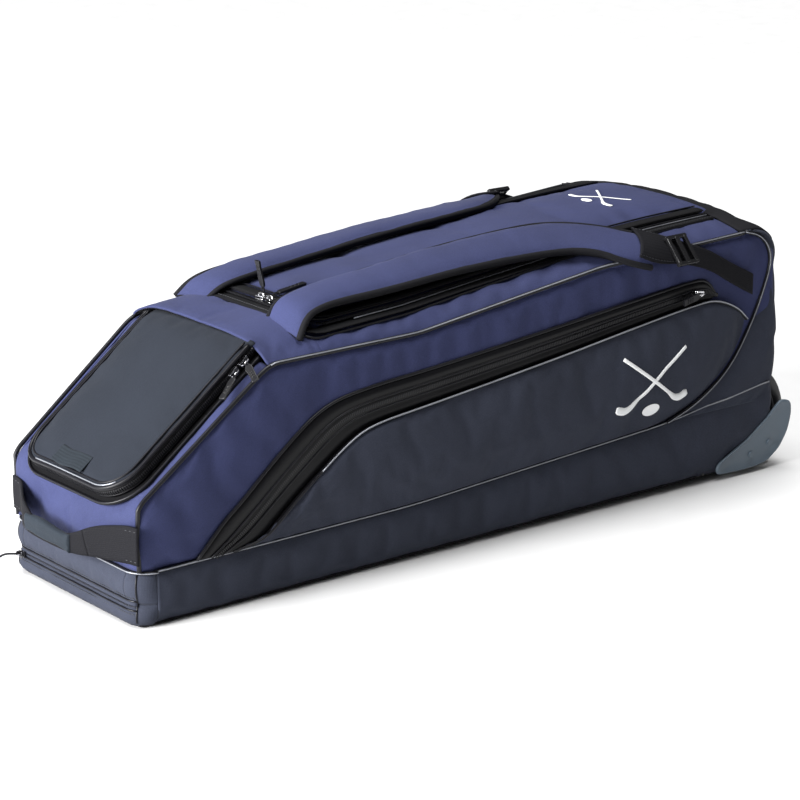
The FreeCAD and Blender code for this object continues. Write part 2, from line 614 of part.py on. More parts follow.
wheel_tub = plate("wheel_tub_right", "XZ_Plane", [tub_outline("0")], f"{TUB_OPEN} - (Bag.chassis_half + 1)",
                  offset="Bag.chassis_half + 1")
tub_space = new_sketch(wheel_tub, "tub_space", "XZ_Plane", TUB_OPEN)
draw_loop(tub_space, tub_outline("Bag.tub_wall")[1:4] + [
    ("Bag.wheel_run - (Bag.tub_radius - Bag.tub_wall)", "Bag.floor_rise - 5"),
    ("Bag.shell_length", "Bag.floor_rise - 5"),
    ("Bag.shell_length", tub_outline("Bag.tub_wall")[1][1])])
pocket(wheel_tub, tub_space, f"{TUB_OPEN} - ({TUB_BACK})")
axle_hole = new_sketch(wheel_tub, "axle_hole", "XZ_Plane", TUB_BACK)
draw_circle(axle_hole, "Bag.wheel_run", "Bag.wheel_radius", "Bag.axle_radius + 0.1")
pocket(wheel_tub, axle_hole, "Bag.tub_wall + 1")
mirror(wheel_tub, "wheel_tub_left")

GUARD_SCREWS = [("Bag.guard_front + 54", "24"), ("Bag.guard_front + 84", "34")]
wheel_guard = plate("wheel_guard_right", "XZ_Plane",
                    [[("Bag.guard_front", "8"), ("Bag.guard_front + 57", "7"), ("Bag.guard_front + 74", "8"),
                      ("Bag.guard_front + 94", "18", "60", 1), ("Bag.guard_front + 121", "65"),
                      ("Bag.guard_front + 119", "82"), ("Bag.guard_front + 102", "85"),
                      ("Bag.guard_front + 81", "65"), ("Bag.guard_front + 44", "41"),
                      ("Bag.guard_front", "19")]],
                    "Bag.guard", SIDE_FRAME)
guard_bosses = new_sketch(wheel_guard, "guard_bosses", "XZ_Plane")
for run, height in GUARD_SCREWS:
    draw_circle(guard_bosses, run, height, "Bag.screw_radius + 3")
pad(wheel_guard, guard_bosses, "Bag.skin + Bag.seam_gap", backwards=True)
guard_holes = new_sketch(wheel_guard, "guard_holes", "XZ_Plane", "Bag.guard + 1")
for run, height in GUARD_SCREWS:
    draw_circle(guard_holes, run, height, "Bag.screw_radius + 0.1")
pocket(wheel_guard, guard_holes, "Bag.guard + Bag.skin + 3")
mirror(wheel_guard, "wheel_guard_left")

# The side walls run askew to the axle, so along them the axle lies a little further on.
AXLE_RUN = "Bag.wheel_run * sqrt(1 + Bag.side_spread ^ 2) - 0.25"
axle_plate = plate("axle_plate_right", "XZ_Plane",
                   [rectangle("Bag.wheel_run - 21", "16", "Bag.wheel_run + 32", "Bag.wheel_radius + 16")],
                   "Bag.plate", SIDE_FRAME, offset="-(Bag.skin + Bag.seam_gap)", backwards=True, keep=False)
plate_holes = new_sketch(axle_plate, "plate_holes", "XZ_Plane", "0")
for run, height in GUARD_SCREWS:
    draw_circle(plate_holes, run, height, "Bag.screw_radius + 0.1")
draw_circle(plate_holes, AXLE_RUN, "Bag.wheel_radius", "Bag.axle_radius + 0.4")
pocket(axle_plate, plate_holes, "Bag.skin + Bag.plate + 3", backwards=False)
group("axle_plates", [axle_plate, mirror(axle_plate, "axle_plate_left", keep=False)])

right_axle = doc.addObject("Part::Cylinder", "axle_right")
right_axle.setExpression("Radius", "Bag.axle_radius")
AXLE_START = "Bag.chassis_half - 3"
right_axle.setExpression("Height", f"{half_width('Bag.wheel_run')} - Bag.skin - 0.5 - ({AXLE_START})")
place(right_axle, (WHEEL_CENTRE[0], f"-({AXLE_START})", WHEEL_CENTRE[2]), Vector(1, 0, 0), "90")
group("axles", [right_axle, mirror(right_axle, "axle_left", keep=False)])


def guard_screw(index, run, height):
    """A pan-head screw from outside the guard into the axle plate."""
    body = new_body(f"guard_screw_{index}", SIDE_FRAME, keep=False)
    head = new_sketch(body, f"screw_head_{index}", "XZ_Plane", "Bag.guard")
    draw_circle(head, run, height, "Bag.screw_radius + 2")
    pad(body, head, "2")
    shank = new_sketch(body, f"screw_shank_{index}", "XZ_Plane", "Bag.guard")
    draw_circle(shank, run, height, "Bag.screw_radius")
    pad(body, shank, "Bag.guard + Bag.skin + Bag.plate", backwards=True)
    return body


screws = [guard_screw(index, run, height) for index, (run, height) in enumerate(GUARD_SCREWS)]
screws += [mirror(screw, f"{screw.Label}_left", keep=False) for screw in screws]
group("guard_screws", screws)

# ---------------------------------------------------------------- shoulder straps

# Each section across a strap: its run from the nose, then y and z from the inner to the outer edge.
PAD_SECTIONS = [(250, (37, 308), (68, 307), (99, 302)), (352, (43, 319), (76, 318), (108, 312)),
                (467, (42, 331), (78, 329), (115, 321)), (597, (46, 337), (88, 331), (123, 321)),
                (640, (53, 336), (108, 327), (147, 319)), (674, (76, 333), (153, 316), (167, 303)),
                (700, (113, 327), (157, 313.5), (171, 293)), (716, (140, 320), (158.5, 312.5), (172, 289))]
WEB_SECTIONS = [(717, (142, 321), (160, 312), (173, 291)), (747, (157, 313.5), (165.5, 302), (175, 290)),
                (790, (168.5, 299), (171.5, 287.5), (175, 276)), (829, (170, 276), (171, 264), (172, 252)),
                (867, (170.5, 256), (170.5, 243), (170.5, 230))]


def strap_ribbon(label, sections, drop):
    """A strap lofted through its sections, on the right-hand side."""
    stations = []
    for run, *across in sections:
        stations.append((str(run), [(f"-{y}", str(z)) for y, z in across]))
    return ribbon(label, stations, drop)


strap_pad = strap_ribbon("strap_pad_right", PAD_SECTIONS, ("0", "-Bag.strap"))
mirror(strap_pad, "strap_pad_left")
strap_webbing = strap_ribbon("strap_webbing_right", WEB_SECTIONS,
                             ("Bag.webbing * 0.8", "-Bag.webbing * 0.8"))
mirror(strap_webbing, "strap_webbing_left")

GLIDE_FRAME = dict(base=("Bag.nose_x + 747", "-167.8", "304"), axis=Vector(1, 0, 0), angle="49")
tri_glide = plate("tri_glide_right", "XY_Plane",
                  [rectangle("-15", "-19", "15", "19"), rectangle("-11", "-15", "-2", "15"),
                   rectangle("2", "-15", "11", "15")], "3", GLIDE_FRAME)
mirror(tri_glide, "tri_glide_left")

# ---------------------------------------------------------------- nose handle

HANDLE_OUT = "-Bag.handle_reach"
HANDLE_IN = "-Bag.handle_reach + Bag.skin"


def handle_edge(reach, foot, shift):
    """Corners of one face of the handle's webbing, from the left end to the right one."""
    bend = f"Bag.handle_half - {shift}"
    tab = f"Bag.handle_half + 48 - {shift}"
    return [(foot, "Bag.nose_half - 3"), (foot, tab), (reach, bend), (reach, f"-({bend})"),
            (foot, f"-({tab})"), (foot, "-(Bag.nose_half - 3)")]


outer_edge = handle_edge(HANDLE_OUT, "-Bag.skin - 0.5", "0")
inner_edge = handle_edge(HANDLE_IN, "-0.5", "1")
plate("nose_handle", "XY_Plane", [outer_edge + list(reversed(inner_edge))], "Bag.handle_width",
      offset="Bag.handle_low")
GRIP_TOP = "Bag.handle_low + Bag.handle_width + Bag.grip"
handle_grip = block("handle_grip",
                    (f"{HANDLE_OUT} - Bag.grip + 0.3", "-Bag.grip_half", "Bag.handle_low - Bag.grip"),
                    (f"{HANDLE_IN} + Bag.grip", "Bag.grip_half", GRIP_TOP))
grip_space = new_sketch(handle_grip, "grip_space", "XZ_Plane", "Bag.grip_half")
draw_loop(grip_space, rectangle(f"{HANDLE_OUT} - 0.2", "Bag.handle_low - 0.2", f"{HANDLE_IN} + 0.2",
                                "Bag.handle_low + Bag.handle_width + 0.2"))
pocket(handle_grip, grip_space, "Bag.grip_half * 2")

# ---------------------------------------------------------------- zipper sliders and pulls


def slider(label, low, high, pull, frame=UPRIGHT_FRAME):
    """A slider's body with its pull: the pull's rectangle and the height that it lies at."""
    body = block(label, low, high, frame)
    tongue = new_sketch(body, f"{label}_pull", "XY_Plane", pull[1])
    draw_loop(tongue, rectangle(*pull[0]))
    pad(body, tongue, "3")


# The first pull stands up and the second one lies back over the lid. Each turns on its round root.
LID_SLIDERS = {
    "a": ("-8", "6.5", ("5", "7.7"), ("8", "46")),
    "b": ("-24", "7.5", ("7.5", "6.2"), ("62", "9.2")),
}
for letter, (middle, root, pull_low, pull_high) in LID_SLIDERS.items():
    block(f"lid_slider_{letter}", ("Bag.lid_front + 1", f"{middle} - 6", "Bag.lid_front_crown + 1"),
          ("Bag.lid_front + 13", f"{middle} + 6", "Bag.lid_front_crown + 6"))
    lid_pull = block(f"lid_pull_{letter}",
                     (f"Bag.lid_front + {pull_low[0]}", f"{middle} - 5",
                      f"Bag.lid_front_crown + {pull_low[1]}"),
                     (f"Bag.lid_front + {pull_high[0]}", f"{middle} + 5",
                      f"Bag.lid_front_crown + {pull_high[1]}"))
    pull_root = new_sketch(lid_pull, f"lid_pull_{letter}_root", "XZ_Plane", f"-({middle}) - 5")
    draw_circle(pull_root, f"Bag.lid_front + {root}", "Bag.lid_front_crown + 7.7", "1.5")
    pad(lid_pull, pull_root, "10")

FLAP_SLIDERS = {
    "a": ("191", ("193", "-Bag.flap_half - 28", "201", "-Bag.flap_half - 2.5")),
    "b": ("175", ("141", "-Bag.flap_half - 9.5", "181", "-Bag.flap_half - 2.5")),
}
for letter, (start, tongue) in FLAP_SLIDERS.items():
    slider(f"flap_slider_{letter}", (start, "-Bag.flap_half - 9.5", "0.3"),
           (f"{start} + 13", "-Bag.flap_half - 1", "7"), (tongue, "7"), SLOPE_FRAME)

slider("base_slider", ("-6.5", "98", "15"), ("-0.3", "110", "Bag.sill_height - 1"),
       (("-9.5", "104", "-6.5", "140"), "18"))


def side_slider():
    """Slider at the rear end of the side pocket's zip, its pull trailing forwards."""
    body = new_body("side_slider_right", SIDE_FRAME)
    shell = new_sketch(body, "side_slider_shell", "XZ_Plane", "Bag.band_rise + 0.3")
    draw_loop(shell, rectangle("770", "242", "783", "251"))
    pad(body, shell, "6")
    tongue = new_sketch(body, "side_slider_tongue", "XZ_Plane", "Bag.band_rise + 6.3")
    draw_loop(tongue, rectangle("742", "243", "777", "250"))
    pad(body, tongue, "3")
    return body


mirror(side_slider(), "side_slider_left")

# ---------------------------------------------------------------- build, test and write

doc.recompute()
for item in doc.Objects:
    if "Invalid" in item.State or "Error" in item.State:
        raise RuntimeError(f"{item.Label} failed: {item.State}")
for node in nodes:
    if node.Shape.isNull() or not node.Shape.isValid():
        raise RuntimeError(f"{node.Label} has no valid shape")

os.makedirs("parts", exist_ok=True)
for node in nodes:
    node.Shape.exportStep(f"parts/{node.Label}.step")
print(len(nodes), "pieces")
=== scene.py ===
import math
import bmesh
import bpy
import numpy as np
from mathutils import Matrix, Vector, noise
from mathutils.bvhtree import BVHTree


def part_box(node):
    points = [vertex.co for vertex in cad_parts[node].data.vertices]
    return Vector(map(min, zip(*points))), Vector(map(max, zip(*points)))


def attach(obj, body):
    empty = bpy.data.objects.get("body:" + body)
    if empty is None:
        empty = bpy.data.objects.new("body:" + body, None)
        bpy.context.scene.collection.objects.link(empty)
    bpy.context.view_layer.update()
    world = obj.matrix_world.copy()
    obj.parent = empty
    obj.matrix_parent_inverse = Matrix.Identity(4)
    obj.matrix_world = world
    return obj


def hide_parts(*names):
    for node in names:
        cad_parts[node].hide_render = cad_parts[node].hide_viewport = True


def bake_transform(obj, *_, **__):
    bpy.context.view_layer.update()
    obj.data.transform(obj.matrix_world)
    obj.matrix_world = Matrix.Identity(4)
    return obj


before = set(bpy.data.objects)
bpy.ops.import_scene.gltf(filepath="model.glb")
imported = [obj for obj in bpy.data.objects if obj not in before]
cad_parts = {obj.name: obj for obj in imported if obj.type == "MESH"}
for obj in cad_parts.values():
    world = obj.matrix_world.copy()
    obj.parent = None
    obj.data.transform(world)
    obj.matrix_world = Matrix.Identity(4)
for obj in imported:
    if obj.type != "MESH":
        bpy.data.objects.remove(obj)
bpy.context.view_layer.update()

# The looks of a wheeled equipment bag. Metres; +X runs from the nose to the wheels, -Y is the right side.

# ---------------------------------------------------------------- places read from the frame


def node_middle(node):
    """The middle of a CAD node's box."""
    low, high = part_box(node)
    return Vector([(a + b) / 2 for a, b in zip(low, high)])


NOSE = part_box("nose_panel")[0][0]
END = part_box("end_cap")[1][0]
HALF_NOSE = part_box("nose_panel")[1][1] + 0.0032
HALF_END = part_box("end_cap")[1][1]
FLOOR_RISE = 0.008
RIDGE = Vector((-0.286, 0, 0.265))
NOSE_TOP = 0.136
NOSE_BEND = 0.030
NOSE_ROUND_RUN = 0.012
NOSE_ROUND_Z = 0.121
END_ROUND = 0.034
END_CORNER = 0.012
LID_LOW, LID_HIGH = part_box("lid_panel")
LID_HALF = LID_HIGH[1]
RIM_HALF = LID_HALF + 0.004
WHEEL = node_middle("tyre_right")
WHEEL_RADIUS = (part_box("tyre_right")[1][2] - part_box("tyre_right")[0][2]) / 2
SIDES = (("right", -1), ("left", 1))
X, Y, Z = Vector((1, 0, 0)), Vector((0, 1, 0)), Vector((0, 0, 1))


def profile(knots, blur):
    """A height along X through a few knots, its corners softened over a length."""
    runs, heights = zip(*knots)

    def height(x):
        return float(np.mean(np.interp(np.linspace(x - blur, x + blur, 9), runs, heights)))
    return height


side_line = profile([(NOSE, NOSE_TOP), (RIDGE.x, RIDGE.z), (-0.086, 0.266), (0.178, 0.300),
                     (0.399, 0.308), (END, 0.308)], 0.012)
seam = profile([(NOSE, 0.062), (-0.099, 0.066), (0.282, 0.090), (END, 0.117)], 0.03)
crown = profile([(RIDGE.x, 0.284), (-0.212, 0.294), (0.0, 0.309), (0.2, 0.321), (0.30, 0.3255),
                 (0.399, 0.3255), (END, 0.323)], 0.03)
squareness = profile([(RIDGE.x, 4.5), (-0.1, 3.4), (0.2, 2.4), (END, 2.2)], 0.03)
underside = profile([(NOSE, 0.0), (END, FLOOR_RISE)], 0.001)
gusset_low = profile([(NOSE, 0.0005), (0.362, 0.0075), (0.372, 0.018), (0.413, 0.041), (END, 0.071)], 0.004)


def half(x):
    """Half width of the bag."""
    return HALF_NOSE + (HALF_END - HALF_NOSE) * (x - NOSE) / (END - NOSE)


def end_drop(x):
    """How far the top rounds down towards the end face."""
    over = min(max(x - (END - END_ROUND), 0.0), END_ROUND)
    return END_ROUND - math.sqrt(END_ROUND ** 2 - over ** 2)


def edge(x):
    """Height of the side walls' upper edge, rounded off at the nose and at the end."""
    run = x - NOSE
    if run < NOSE_ROUND_RUN:
        return NOSE_ROUND_Z + math.sqrt(NOSE_BEND ** 2 - (NOSE_BEND - max(run, 0.0)) ** 2)
    return side_line(x) - end_drop(x)


def top_z(x, y):
    """Height of the crowned top."""
    across = min(abs(y) / half(x), 1.0)
    return edge(x) + (crown(x) - side_line(x)) * (1 - across ** squareness(x))


def tuck(distance, reach=0.012, depth=0.003):
    """How far a sewn panel dips towards a seam."""
    near = 1 - min(max(distance / reach, 0.0), 1.0)
    return depth * (1 - math.sqrt(1 - near * near))


def lerp(a, b, t):
    return a + (b - a) * t


def bump(t):
    """A rise from 0 to 1 and back, for padding."""
    return math.sin(math.pi * min(max(t, 0.0), 1.0))


def rounded_power(value, power):
    """A sine or cosine pressed towards 1, which squares off a round section."""
    return math.copysign(abs(value) ** power, value)


def soften(points, rounds):
    """Rounds the corners of a line of points, keeping its ends."""
    points = [Vector(p) for p in points]
    for _ in range(rounds):
        cut = [points[0]]
        for a, b in zip(points, points[1:]):
            cut += [a.lerp(b, 0.25), a.lerp(b, 0.75)]
        points = cut + [points[-1]]
    return points


def resample(points, count):
    """The same line with evenly spaced points."""
    points = np.array([tuple(p) for p in points])
    steps = np.r_[0, np.cumsum(np.linalg.norm(np.diff(points, axis=0), axis=1))]
    places = np.linspace(0, steps[-1], count)
    return [Vector([float(np.interp(place, steps, points[:, k])) for k in range(points.shape[1])])
            for place in places]


def smooth_line(points, count, rounds=3):
    """Evenly spaced points of a line whose corners are rounded."""
    return resample(soften(points, rounds), count)


def path_at(points, t):
    """A point of an evenly spaced line, t from 0 to 1."""
    place = t * (len(points) - 1)
    index = min(int(place), len(points) - 2)
    return points[index].lerp(points[index + 1], place - index)


# ---------------------------------------------------------------- materials

USUAL_SLOT = {}


def shader(name, slot, rough, metallic=0.0):
    """A new node material for a slot: its shader node and a maker of further nodes."""
    material = bpy.data.materials.new(name)
    material.use_nodes = True
    USUAL_SLOT[material.name] = slot
    nodes = material.node_tree.nodes
    main = nodes["Principled BSDF"]
    main.inputs["Roughness"].default_value = rough
    main.inputs["Metallic"].default_value = metallic

    def add(kind, **inputs):
        node = nodes.new(kind)
        for key, value in inputs.items():
            plug(value, node.inputs[key.replace("_", " ")])
        return node
    return material, main, add


def plug(value, socket):
    """Sets an input, or joins another node's output to it."""
    if isinstance(value, bpy.types.NodeSocket):
        socket.id_data.links.new(value, socket)
    else:
        socket.default_value = value


def maths(add, operation, *values):
    """A Math node's result."""
    node = add("ShaderNodeMath")
    node.operation = operation
    for value, socket in zip(values, node.inputs):
        plug(value, socket)
    return node.outputs[0]


def tint(add, factor, colour, darker, lighter):
    """A colour that moves between a darker and a lighter one, by a factor."""
    mix = add("ShaderNodeMix")
    mix.data_type = "RGBA"
    mix.inputs["A"].default_value = (*[c * (1 - darker) for c in colour], 1)
    mix.inputs["B"].default_value = (*[min(c * (1 + lighter), 1) for c in colour], 1)
    plug(factor, mix.inputs["Factor"])
    return mix.outputs["Result"]


def cloth(name, slot, colour, rough=0.8, thread=0.0014, relief=0.35, sheen=0.03, coat=0.0):
    """Woven cloth: crossed threads from the panel's own metres, slow shade changes and creases."""
    material, main, add = shader(name, slot, rough)
    uv = add("ShaderNodeTexCoord").outputs["UV"]
    place = add("ShaderNodeTexCoord").outputs["Object"]
    bands = []
    for direction in ("X", "Y"):
        wave = add("ShaderNodeTexWave", Vector=uv, Scale=2 * math.pi / (20 * thread), Distortion=0.6,
                   Detail=1.0)
        wave.bands_direction = direction
        bands.append(wave.outputs["Fac"])
    weave = maths(add, "MULTIPLY", *bands)
    slow = add("ShaderNodeTexNoise", Vector=place, Scale=9.0, Detail=3.0).outputs["Fac"]
    fuzz = add("ShaderNodeTexNoise", Vector=place, Scale=900.0, Detail=2.0).outputs["Fac"]
    shade = maths(add, "MULTIPLY_ADD", slow, 0.7, fuzz)
    ramp = add("ShaderNodeMapRange", Value=shade, From_Min=0.55, From_Max=1.15)
    creases = add("ShaderNodeTexNoise", Vector=place, Scale=38.0, Detail=4.0, Distortion=0.8)
    low = add("ShaderNodeBump", Strength=0.25, Distance=0.0016, Height=creases.outputs["Fac"])
    fine = add("ShaderNodeBump", Strength=relief, Distance=0.0004, Height=weave,
               Normal=low.outputs["Normal"])
    spread = add("ShaderNodeMapRange", Value=slow, To_Min=rough - 0.07, To_Max=rough + 0.07)
    looks = {"Base Color": tint(add, ramp.outputs["Result"], colour, 0.256, 0.16),
             "Normal": fine.outputs["Normal"], "Roughness": spread.outputs["Result"],
             "Specular IOR Level": 0.13, "Sheen Weight": sheen, "Sheen Roughness": 0.4,
             "Coat Weight": coat, "Coat Roughness": 0.3}
    for key, value in looks.items():
        plug(value, main.inputs[key])
    return material


def moulded(name, slot, colour, rough=0.4, grain=700.0, relief=0.12, metallic=0.0, variation=0.12,
            specular=0.5):
    """Moulded or cast material: fine grain, slow shade changes and a little rubbing."""
    material, main, add = shader(name, slot, rough, metallic)
    place = add("ShaderNodeTexCoord").outputs["Object"]
    slow = add("ShaderNodeTexNoise", Vector=place, Scale=24.0, Detail=5.0).outputs["Fac"]
    fine = add("ShaderNodeTexNoise", Vector=place, Scale=grain, Detail=2.0).outputs["Fac"]
    ramp = add("ShaderNodeMapRange", Value=slow, From_Min=0.3, From_Max=0.7, To_Min=rough - 0.08,
               To_Max=rough + 0.1)
    surface = add("ShaderNodeBump", Strength=relief, Distance=0.0003, Height=fine)
    looks = {"Base Color": tint(add, slow, colour, variation, variation * 1.5),
             "Roughness": ramp.outputs["Result"], "Normal": surface.outputs["Normal"],
             "Specular IOR Level": specular}
    for key, value in looks.items():
        plug(value, main.inputs[key])
    return material


BLUE = cloth("blue_cloth", "shell_blue", (0.033, 0.039, 0.098))
CHARCOAL = cloth("charcoal_cloth", "shell_charcoal", (0.029, 0.033, 0.049))
FLAP_GREY = cloth("flap_cloth", "shell_charcoal", (0.013, 0.016, 0.023))
LABEL = cloth("label_cloth", "panel_black", (0.012, 0.016, 0.021))
BLACK = cloth("black_cloth", "panel_black", (0.008, 0.008, 0.010), sheen=0.0)
LINING = cloth("lining_cloth", "lining", (0.030, 0.030, 0.034), rough=0.6, relief=0.15)
COATED = cloth("coated_black", "zip_tape", (0.004, 0.004, 0.005), rough=0.42, relief=0.12, sheen=0.0,
               coat=0.08)
WEBBING = cloth("webbing", "webbing_black", (0.006, 0.006, 0.008), sheen=0.0, thread=0.0022, relief=0.8)
GRIP = cloth("grip_cloth", "grip_cloth", (0.014, 0.019, 0.026), rough=0.75)
TAPE = cloth("zip_tape", "zip_tape", (0.005, 0.005, 0.006), rough=0.75, sheen=0.0, thread=0.0012,
             relief=0.5)
TEETH = moulded("zip_coil", "zip_tape", (0.010, 0.010, 0.012), rough=0.36, specular=0.3)
PIPING = moulded("black_piping", "zip_tape", (0.006, 0.006, 0.008), rough=0.34, specular=0.22)
# Painted highlight: a pale strip laid along glossy black piping and zip edges where light catches them.
HIGHLIGHT_PAINT = moulded("painted_highlight_piping", "zip_metal", (0.24, 0.25, 0.28), rough=0.34, metallic=0.5)
THREAD = moulded("thread", "zip_tape", (0.020, 0.021, 0.026), rough=0.6)
GUARD = moulded("guard_plastic", "hard_guard", (0.082, 0.110, 0.140), rough=0.48, grain=500.0, relief=0.25)
GLOSS = moulded("gloss_black", "moulded_black", (0.010, 0.010, 0.011), rough=0.2, relief=0.05)
HARD = moulded("tub_plastic", "hub", (0.018, 0.018, 0.020), rough=0.5)
TYRE = moulded("tyre_rubber", "tyre", (0.014, 0.014, 0.015), rough=0.55, relief=0.3)
STEEL = moulded("plated_steel", "hub", (0.55, 0.55, 0.56), rough=0.3, metallic=1.0)
BRIGHT = moulded("slider_metal", "zip_metal", (0.62, 0.62, 0.64), rough=0.18, metallic=1.0)
DARK_METAL = moulded("dark_metal", "zip_metal", (0.10, 0.10, 0.11), rough=0.25, metallic=1.0)
PRINT = moulded("white_print", "shell_charcoal", (0.80, 0.81, 0.82), rough=0.55, relief=0.2)
PALE = moulded("pale_floor", "lining", (0.65, 0.65, 0.65), rough=0.7, grain=200.0, relief=0.02,
               variation=0.01)

# ---------------------------------------------------------------- mesh makers


def piece(name, verts, faces, materials, body="root", slot=None, uvs=None, face_materials=None, smooth=True):
    """A mesh object that rides on a body of the frame; the slot it is given is not used."""
    mesh = bpy.data.meshes.new(name)
    mesh.from_pydata([tuple(v) for v in verts], [], faces)
    for material in materials:
        mesh.materials.append(material)
    if uvs is not None:
        layer = mesh.uv_layers.new(name="metres")
        for loop in mesh.loops:
            layer.data[loop.index].uv = uvs[loop.vertex_index]
    if face_materials is not None:
        mesh.polygons.foreach_set("material_index", face_materials)
    mesh.polygons.foreach_set("use_smooth", [smooth] * len(mesh.polygons))
    mesh.update()
    obj = bpy.data.objects.new(name, mesh)
    bpy.context.scene.collection.objects.link(obj)
    if body is not None:
        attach(obj, body)
    slot or USUAL_SLOT[materials[0].name]
    return obj


def crumple(point, amount, scale=11.0):
    """Slow, smooth unevenness of stuffed cloth."""
    return amount * (noise.noise(point * scale) + 0.4 * noise.noise(point * scale * 2.7 + Vector((7, 3, 1))))


def skin(count, ring):
    """Faces over a row of rings, with both its ends closed."""
    faces = []
    for i in range(count - 1):
        for k in range(ring):
            a, b = i * ring + k, i * ring + (k + 1) % ring
            faces.append((a, b, b + ring, a + ring))
    last = (count - 1) * ring
    return faces + [tuple(reversed(range(ring))), tuple(last + k for k in range(ring))]


SOFT = []
PRESSURE = 0.9
SLACK = 0.012
CLOTH_FRAMES = 20
SEAM_FADE = 0.02


def patch(name, place, size, outward, material, body="root", thick=0.0022, wrinkle=0.0010, step=0.007,
          settle=0.0, hold=None):
    """A cloth panel: place(u, v) gives its points. settle is how far it may swell; hold pins places."""
    nu = max(int(size[0] / step), 3)
    nv = max(int(size[1] / step), 3)
    outward = Vector(outward)
    rows = [[Vector(place(i / nu, j / nv)) for j in range(nv + 1)] for i in range(nu + 1)]
    verts, uvs, faces, pins = [], [], [], []
    for i in range(nu + 1):
        for j in range(nv + 1):
            point = rows[i][j]
            along = rows[min(i + 1, nu)][j] - rows[max(i - 1, 0)][j]
            across = rows[i][min(j + 1, nv)] - rows[i][max(j - 1, 0)]
            normal = along.cross(across)
            if normal.length > 1e-12:
                normal.normalize()
            if normal.dot(outward) < 0:
                normal = -normal
            from_seam = min(min(i, nu - i) * size[0] / nu, min(j, nv - j) * size[1] / nv)
            verts.append(point + normal * crumple(point, wrinkle) * min(from_seam / SEAM_FADE, 1.0))
            uvs.append((i / nu * size[0], j / nv * size[1]))
            if from_seam < 1e-6 or (hold is not None and hold(point)):
                pins.append(len(verts) - 1)
    for i in range(nu):
        for j in range(nv):
            a = i * (nv + 1) + j
            faces.append((a, a + nv + 1, a + nv + 2, a + 1))
    middle = rows[nu // 2][nv // 2]
    trial = (rows[nu // 2 + 1][nv // 2] - middle).cross(rows[nu // 2][nv // 2 + 1] - middle)
    if trial.dot(outward) < 0:
        faces = [tuple(reversed(f)) for f in faces]
    obj = piece(name, verts, faces, [material, LINING], body, uvs=uvs)
    SOFT.append((obj, pins, settle, thick))
    return obj


def start_cloth(obj, pins):
    """Cloth that is held at its seams and blown out a little from inside."""
    obj.vertex_groups.new(name="seams").add(pins, 1.0, "REPLACE")
    simulation = obj.modifiers.new("cloth", "CLOTH")
    settings = simulation.settings
    settings.quality = 6
    settings.mass = 0.25
    settings.tension_stiffness = 12
    settings.compression_stiffness = 12
    settings.shear_stiffness = 4
    settings.bending_stiffness = 0.15
    settings.vertex_group_mass = "seams"
    settings.use_pressure = True
    settings.uniform_pressure_force = PRESSURE
    settings.shrink_min = -SLACK
    settings.effector_weights.gravity = 0.0
    simulation.point_cache.frame_start = 1
    simulation.point_cache.frame_end = CLOTH_FRAMES


def settle_cloth():
    """Lets every soft panel swell and crease between its seams, then keeps the shape."""
    scene = bpy.context.scene
    soft = [entry for entry in SOFT if entry[2] > 0]
    for obj, pins, _, _ in soft:
        start_cloth(obj, pins)
    for frame_number in range(1, CLOTH_FRAMES + 1 if soft else 1):
        scene.frame_set(frame_number)
    graph = bpy.context.evaluated_depsgraph_get()
    shapes = [[v.co.copy() for v in obj.evaluated_get(graph).data.vertices] for obj, _, _, _ in soft]
    for (obj, _, reach, _), shape in zip(soft, shapes):
        obj.modifiers.clear()
        obj.vertex_groups.clear()
        for vertex, place in zip(obj.data.vertices, shape):
            move = place - vertex.co
            if move.length > 1e-9:
                vertex.co += move * (reach * math.tanh(move.length / reach) / move.length)
        obj.data.update()
    scene.frame_set(1)
    for obj, _, _, thick in SOFT:
        smooth = obj.modifiers.new("softness", "SUBSURF")
        smooth.levels = 1
        smooth.render_levels = 1
        solid = obj.modifiers.new("thickness", "SOLIDIFY")
        solid.thickness = thick
        solid.offset = -1
        solid.material_offset = 1
        solid.material_offset_rim = 0


def direction_at(points, index):
    """The direction of a line at one of its points."""
    return (points[min(index + 1, len(points) - 1)] - points[max(index - 1, 0)]).normalized()


def frames_along(points, normals):
    """Tangent, across and normal at each point of a line."""
    result = []
    for index in range(len(points)):
        tangent = direction_at(points, index)
        normal = Vector(normals[index] if isinstance(normals, list) else normals)
        across = tangent.cross(normal).normalized()
        result.append((tangent, across, across.cross(tangent).normalized()))
    return result


def tube(name, points, radius, material, body="root", slot=None, sides=8):
    """Round piping or cord along a line of points."""
    points = [Vector(p) for p in points]
    verts = []
    side = (points[1] - points[0]).normalized().orthogonal().normalized()
    for index, point in enumerate(points):
        tangent = direction_at(points, index)
        side = (side - tangent * side.dot(tangent)).normalized()
        other = tangent.cross(side)
        for k in range(sides):
            angle = 2 * math.pi * k / sides
            verts.append(point + (side * math.cos(angle) + other * math.sin(angle)) * radius)
    return piece(name, verts, skin(len(points), sides), [material], body, slot)


def band(name, points, normals, width, thick, material, body="root", slot=None, lift=0.0, crown_by=0.0,
         steps=4):
    """A flat strip along a line, its width across the line; width may vary along it."""
    points = [Vector(p) for p in points]
    widths = width if isinstance(width, list) else [width] * len(points)
    verts, uvs = [], []
    run = 0.0
    for index, (_, across, normal) in enumerate(frames_along(points, normals)):
        if index:
            run += (points[index] - points[index - 1]).length
        for drop, fullness, order in ((0.0, 1.0, range(steps + 1)), (thick, 0.5, range(steps, -1, -1))):
            for k in order:
                t = k / steps - 0.5
                high = lift - drop + crown_by * (1 - 4 * t * t) * fullness
                verts.append(points[index] + across * widths[index] * t + normal * high)
                uvs.append((run, widths[index] * t))
    return piece(name, verts, skin(len(points), 2 * (steps + 1)), [material], body, slot, uvs)


BOX_FACES = [(0, 1, 3, 2), (4, 6, 7, 5), (0, 4, 5, 1), (2, 3, 7, 6), (0, 2, 6, 4), (1, 5, 7, 3)]
BEAD_TAPER = 0.75


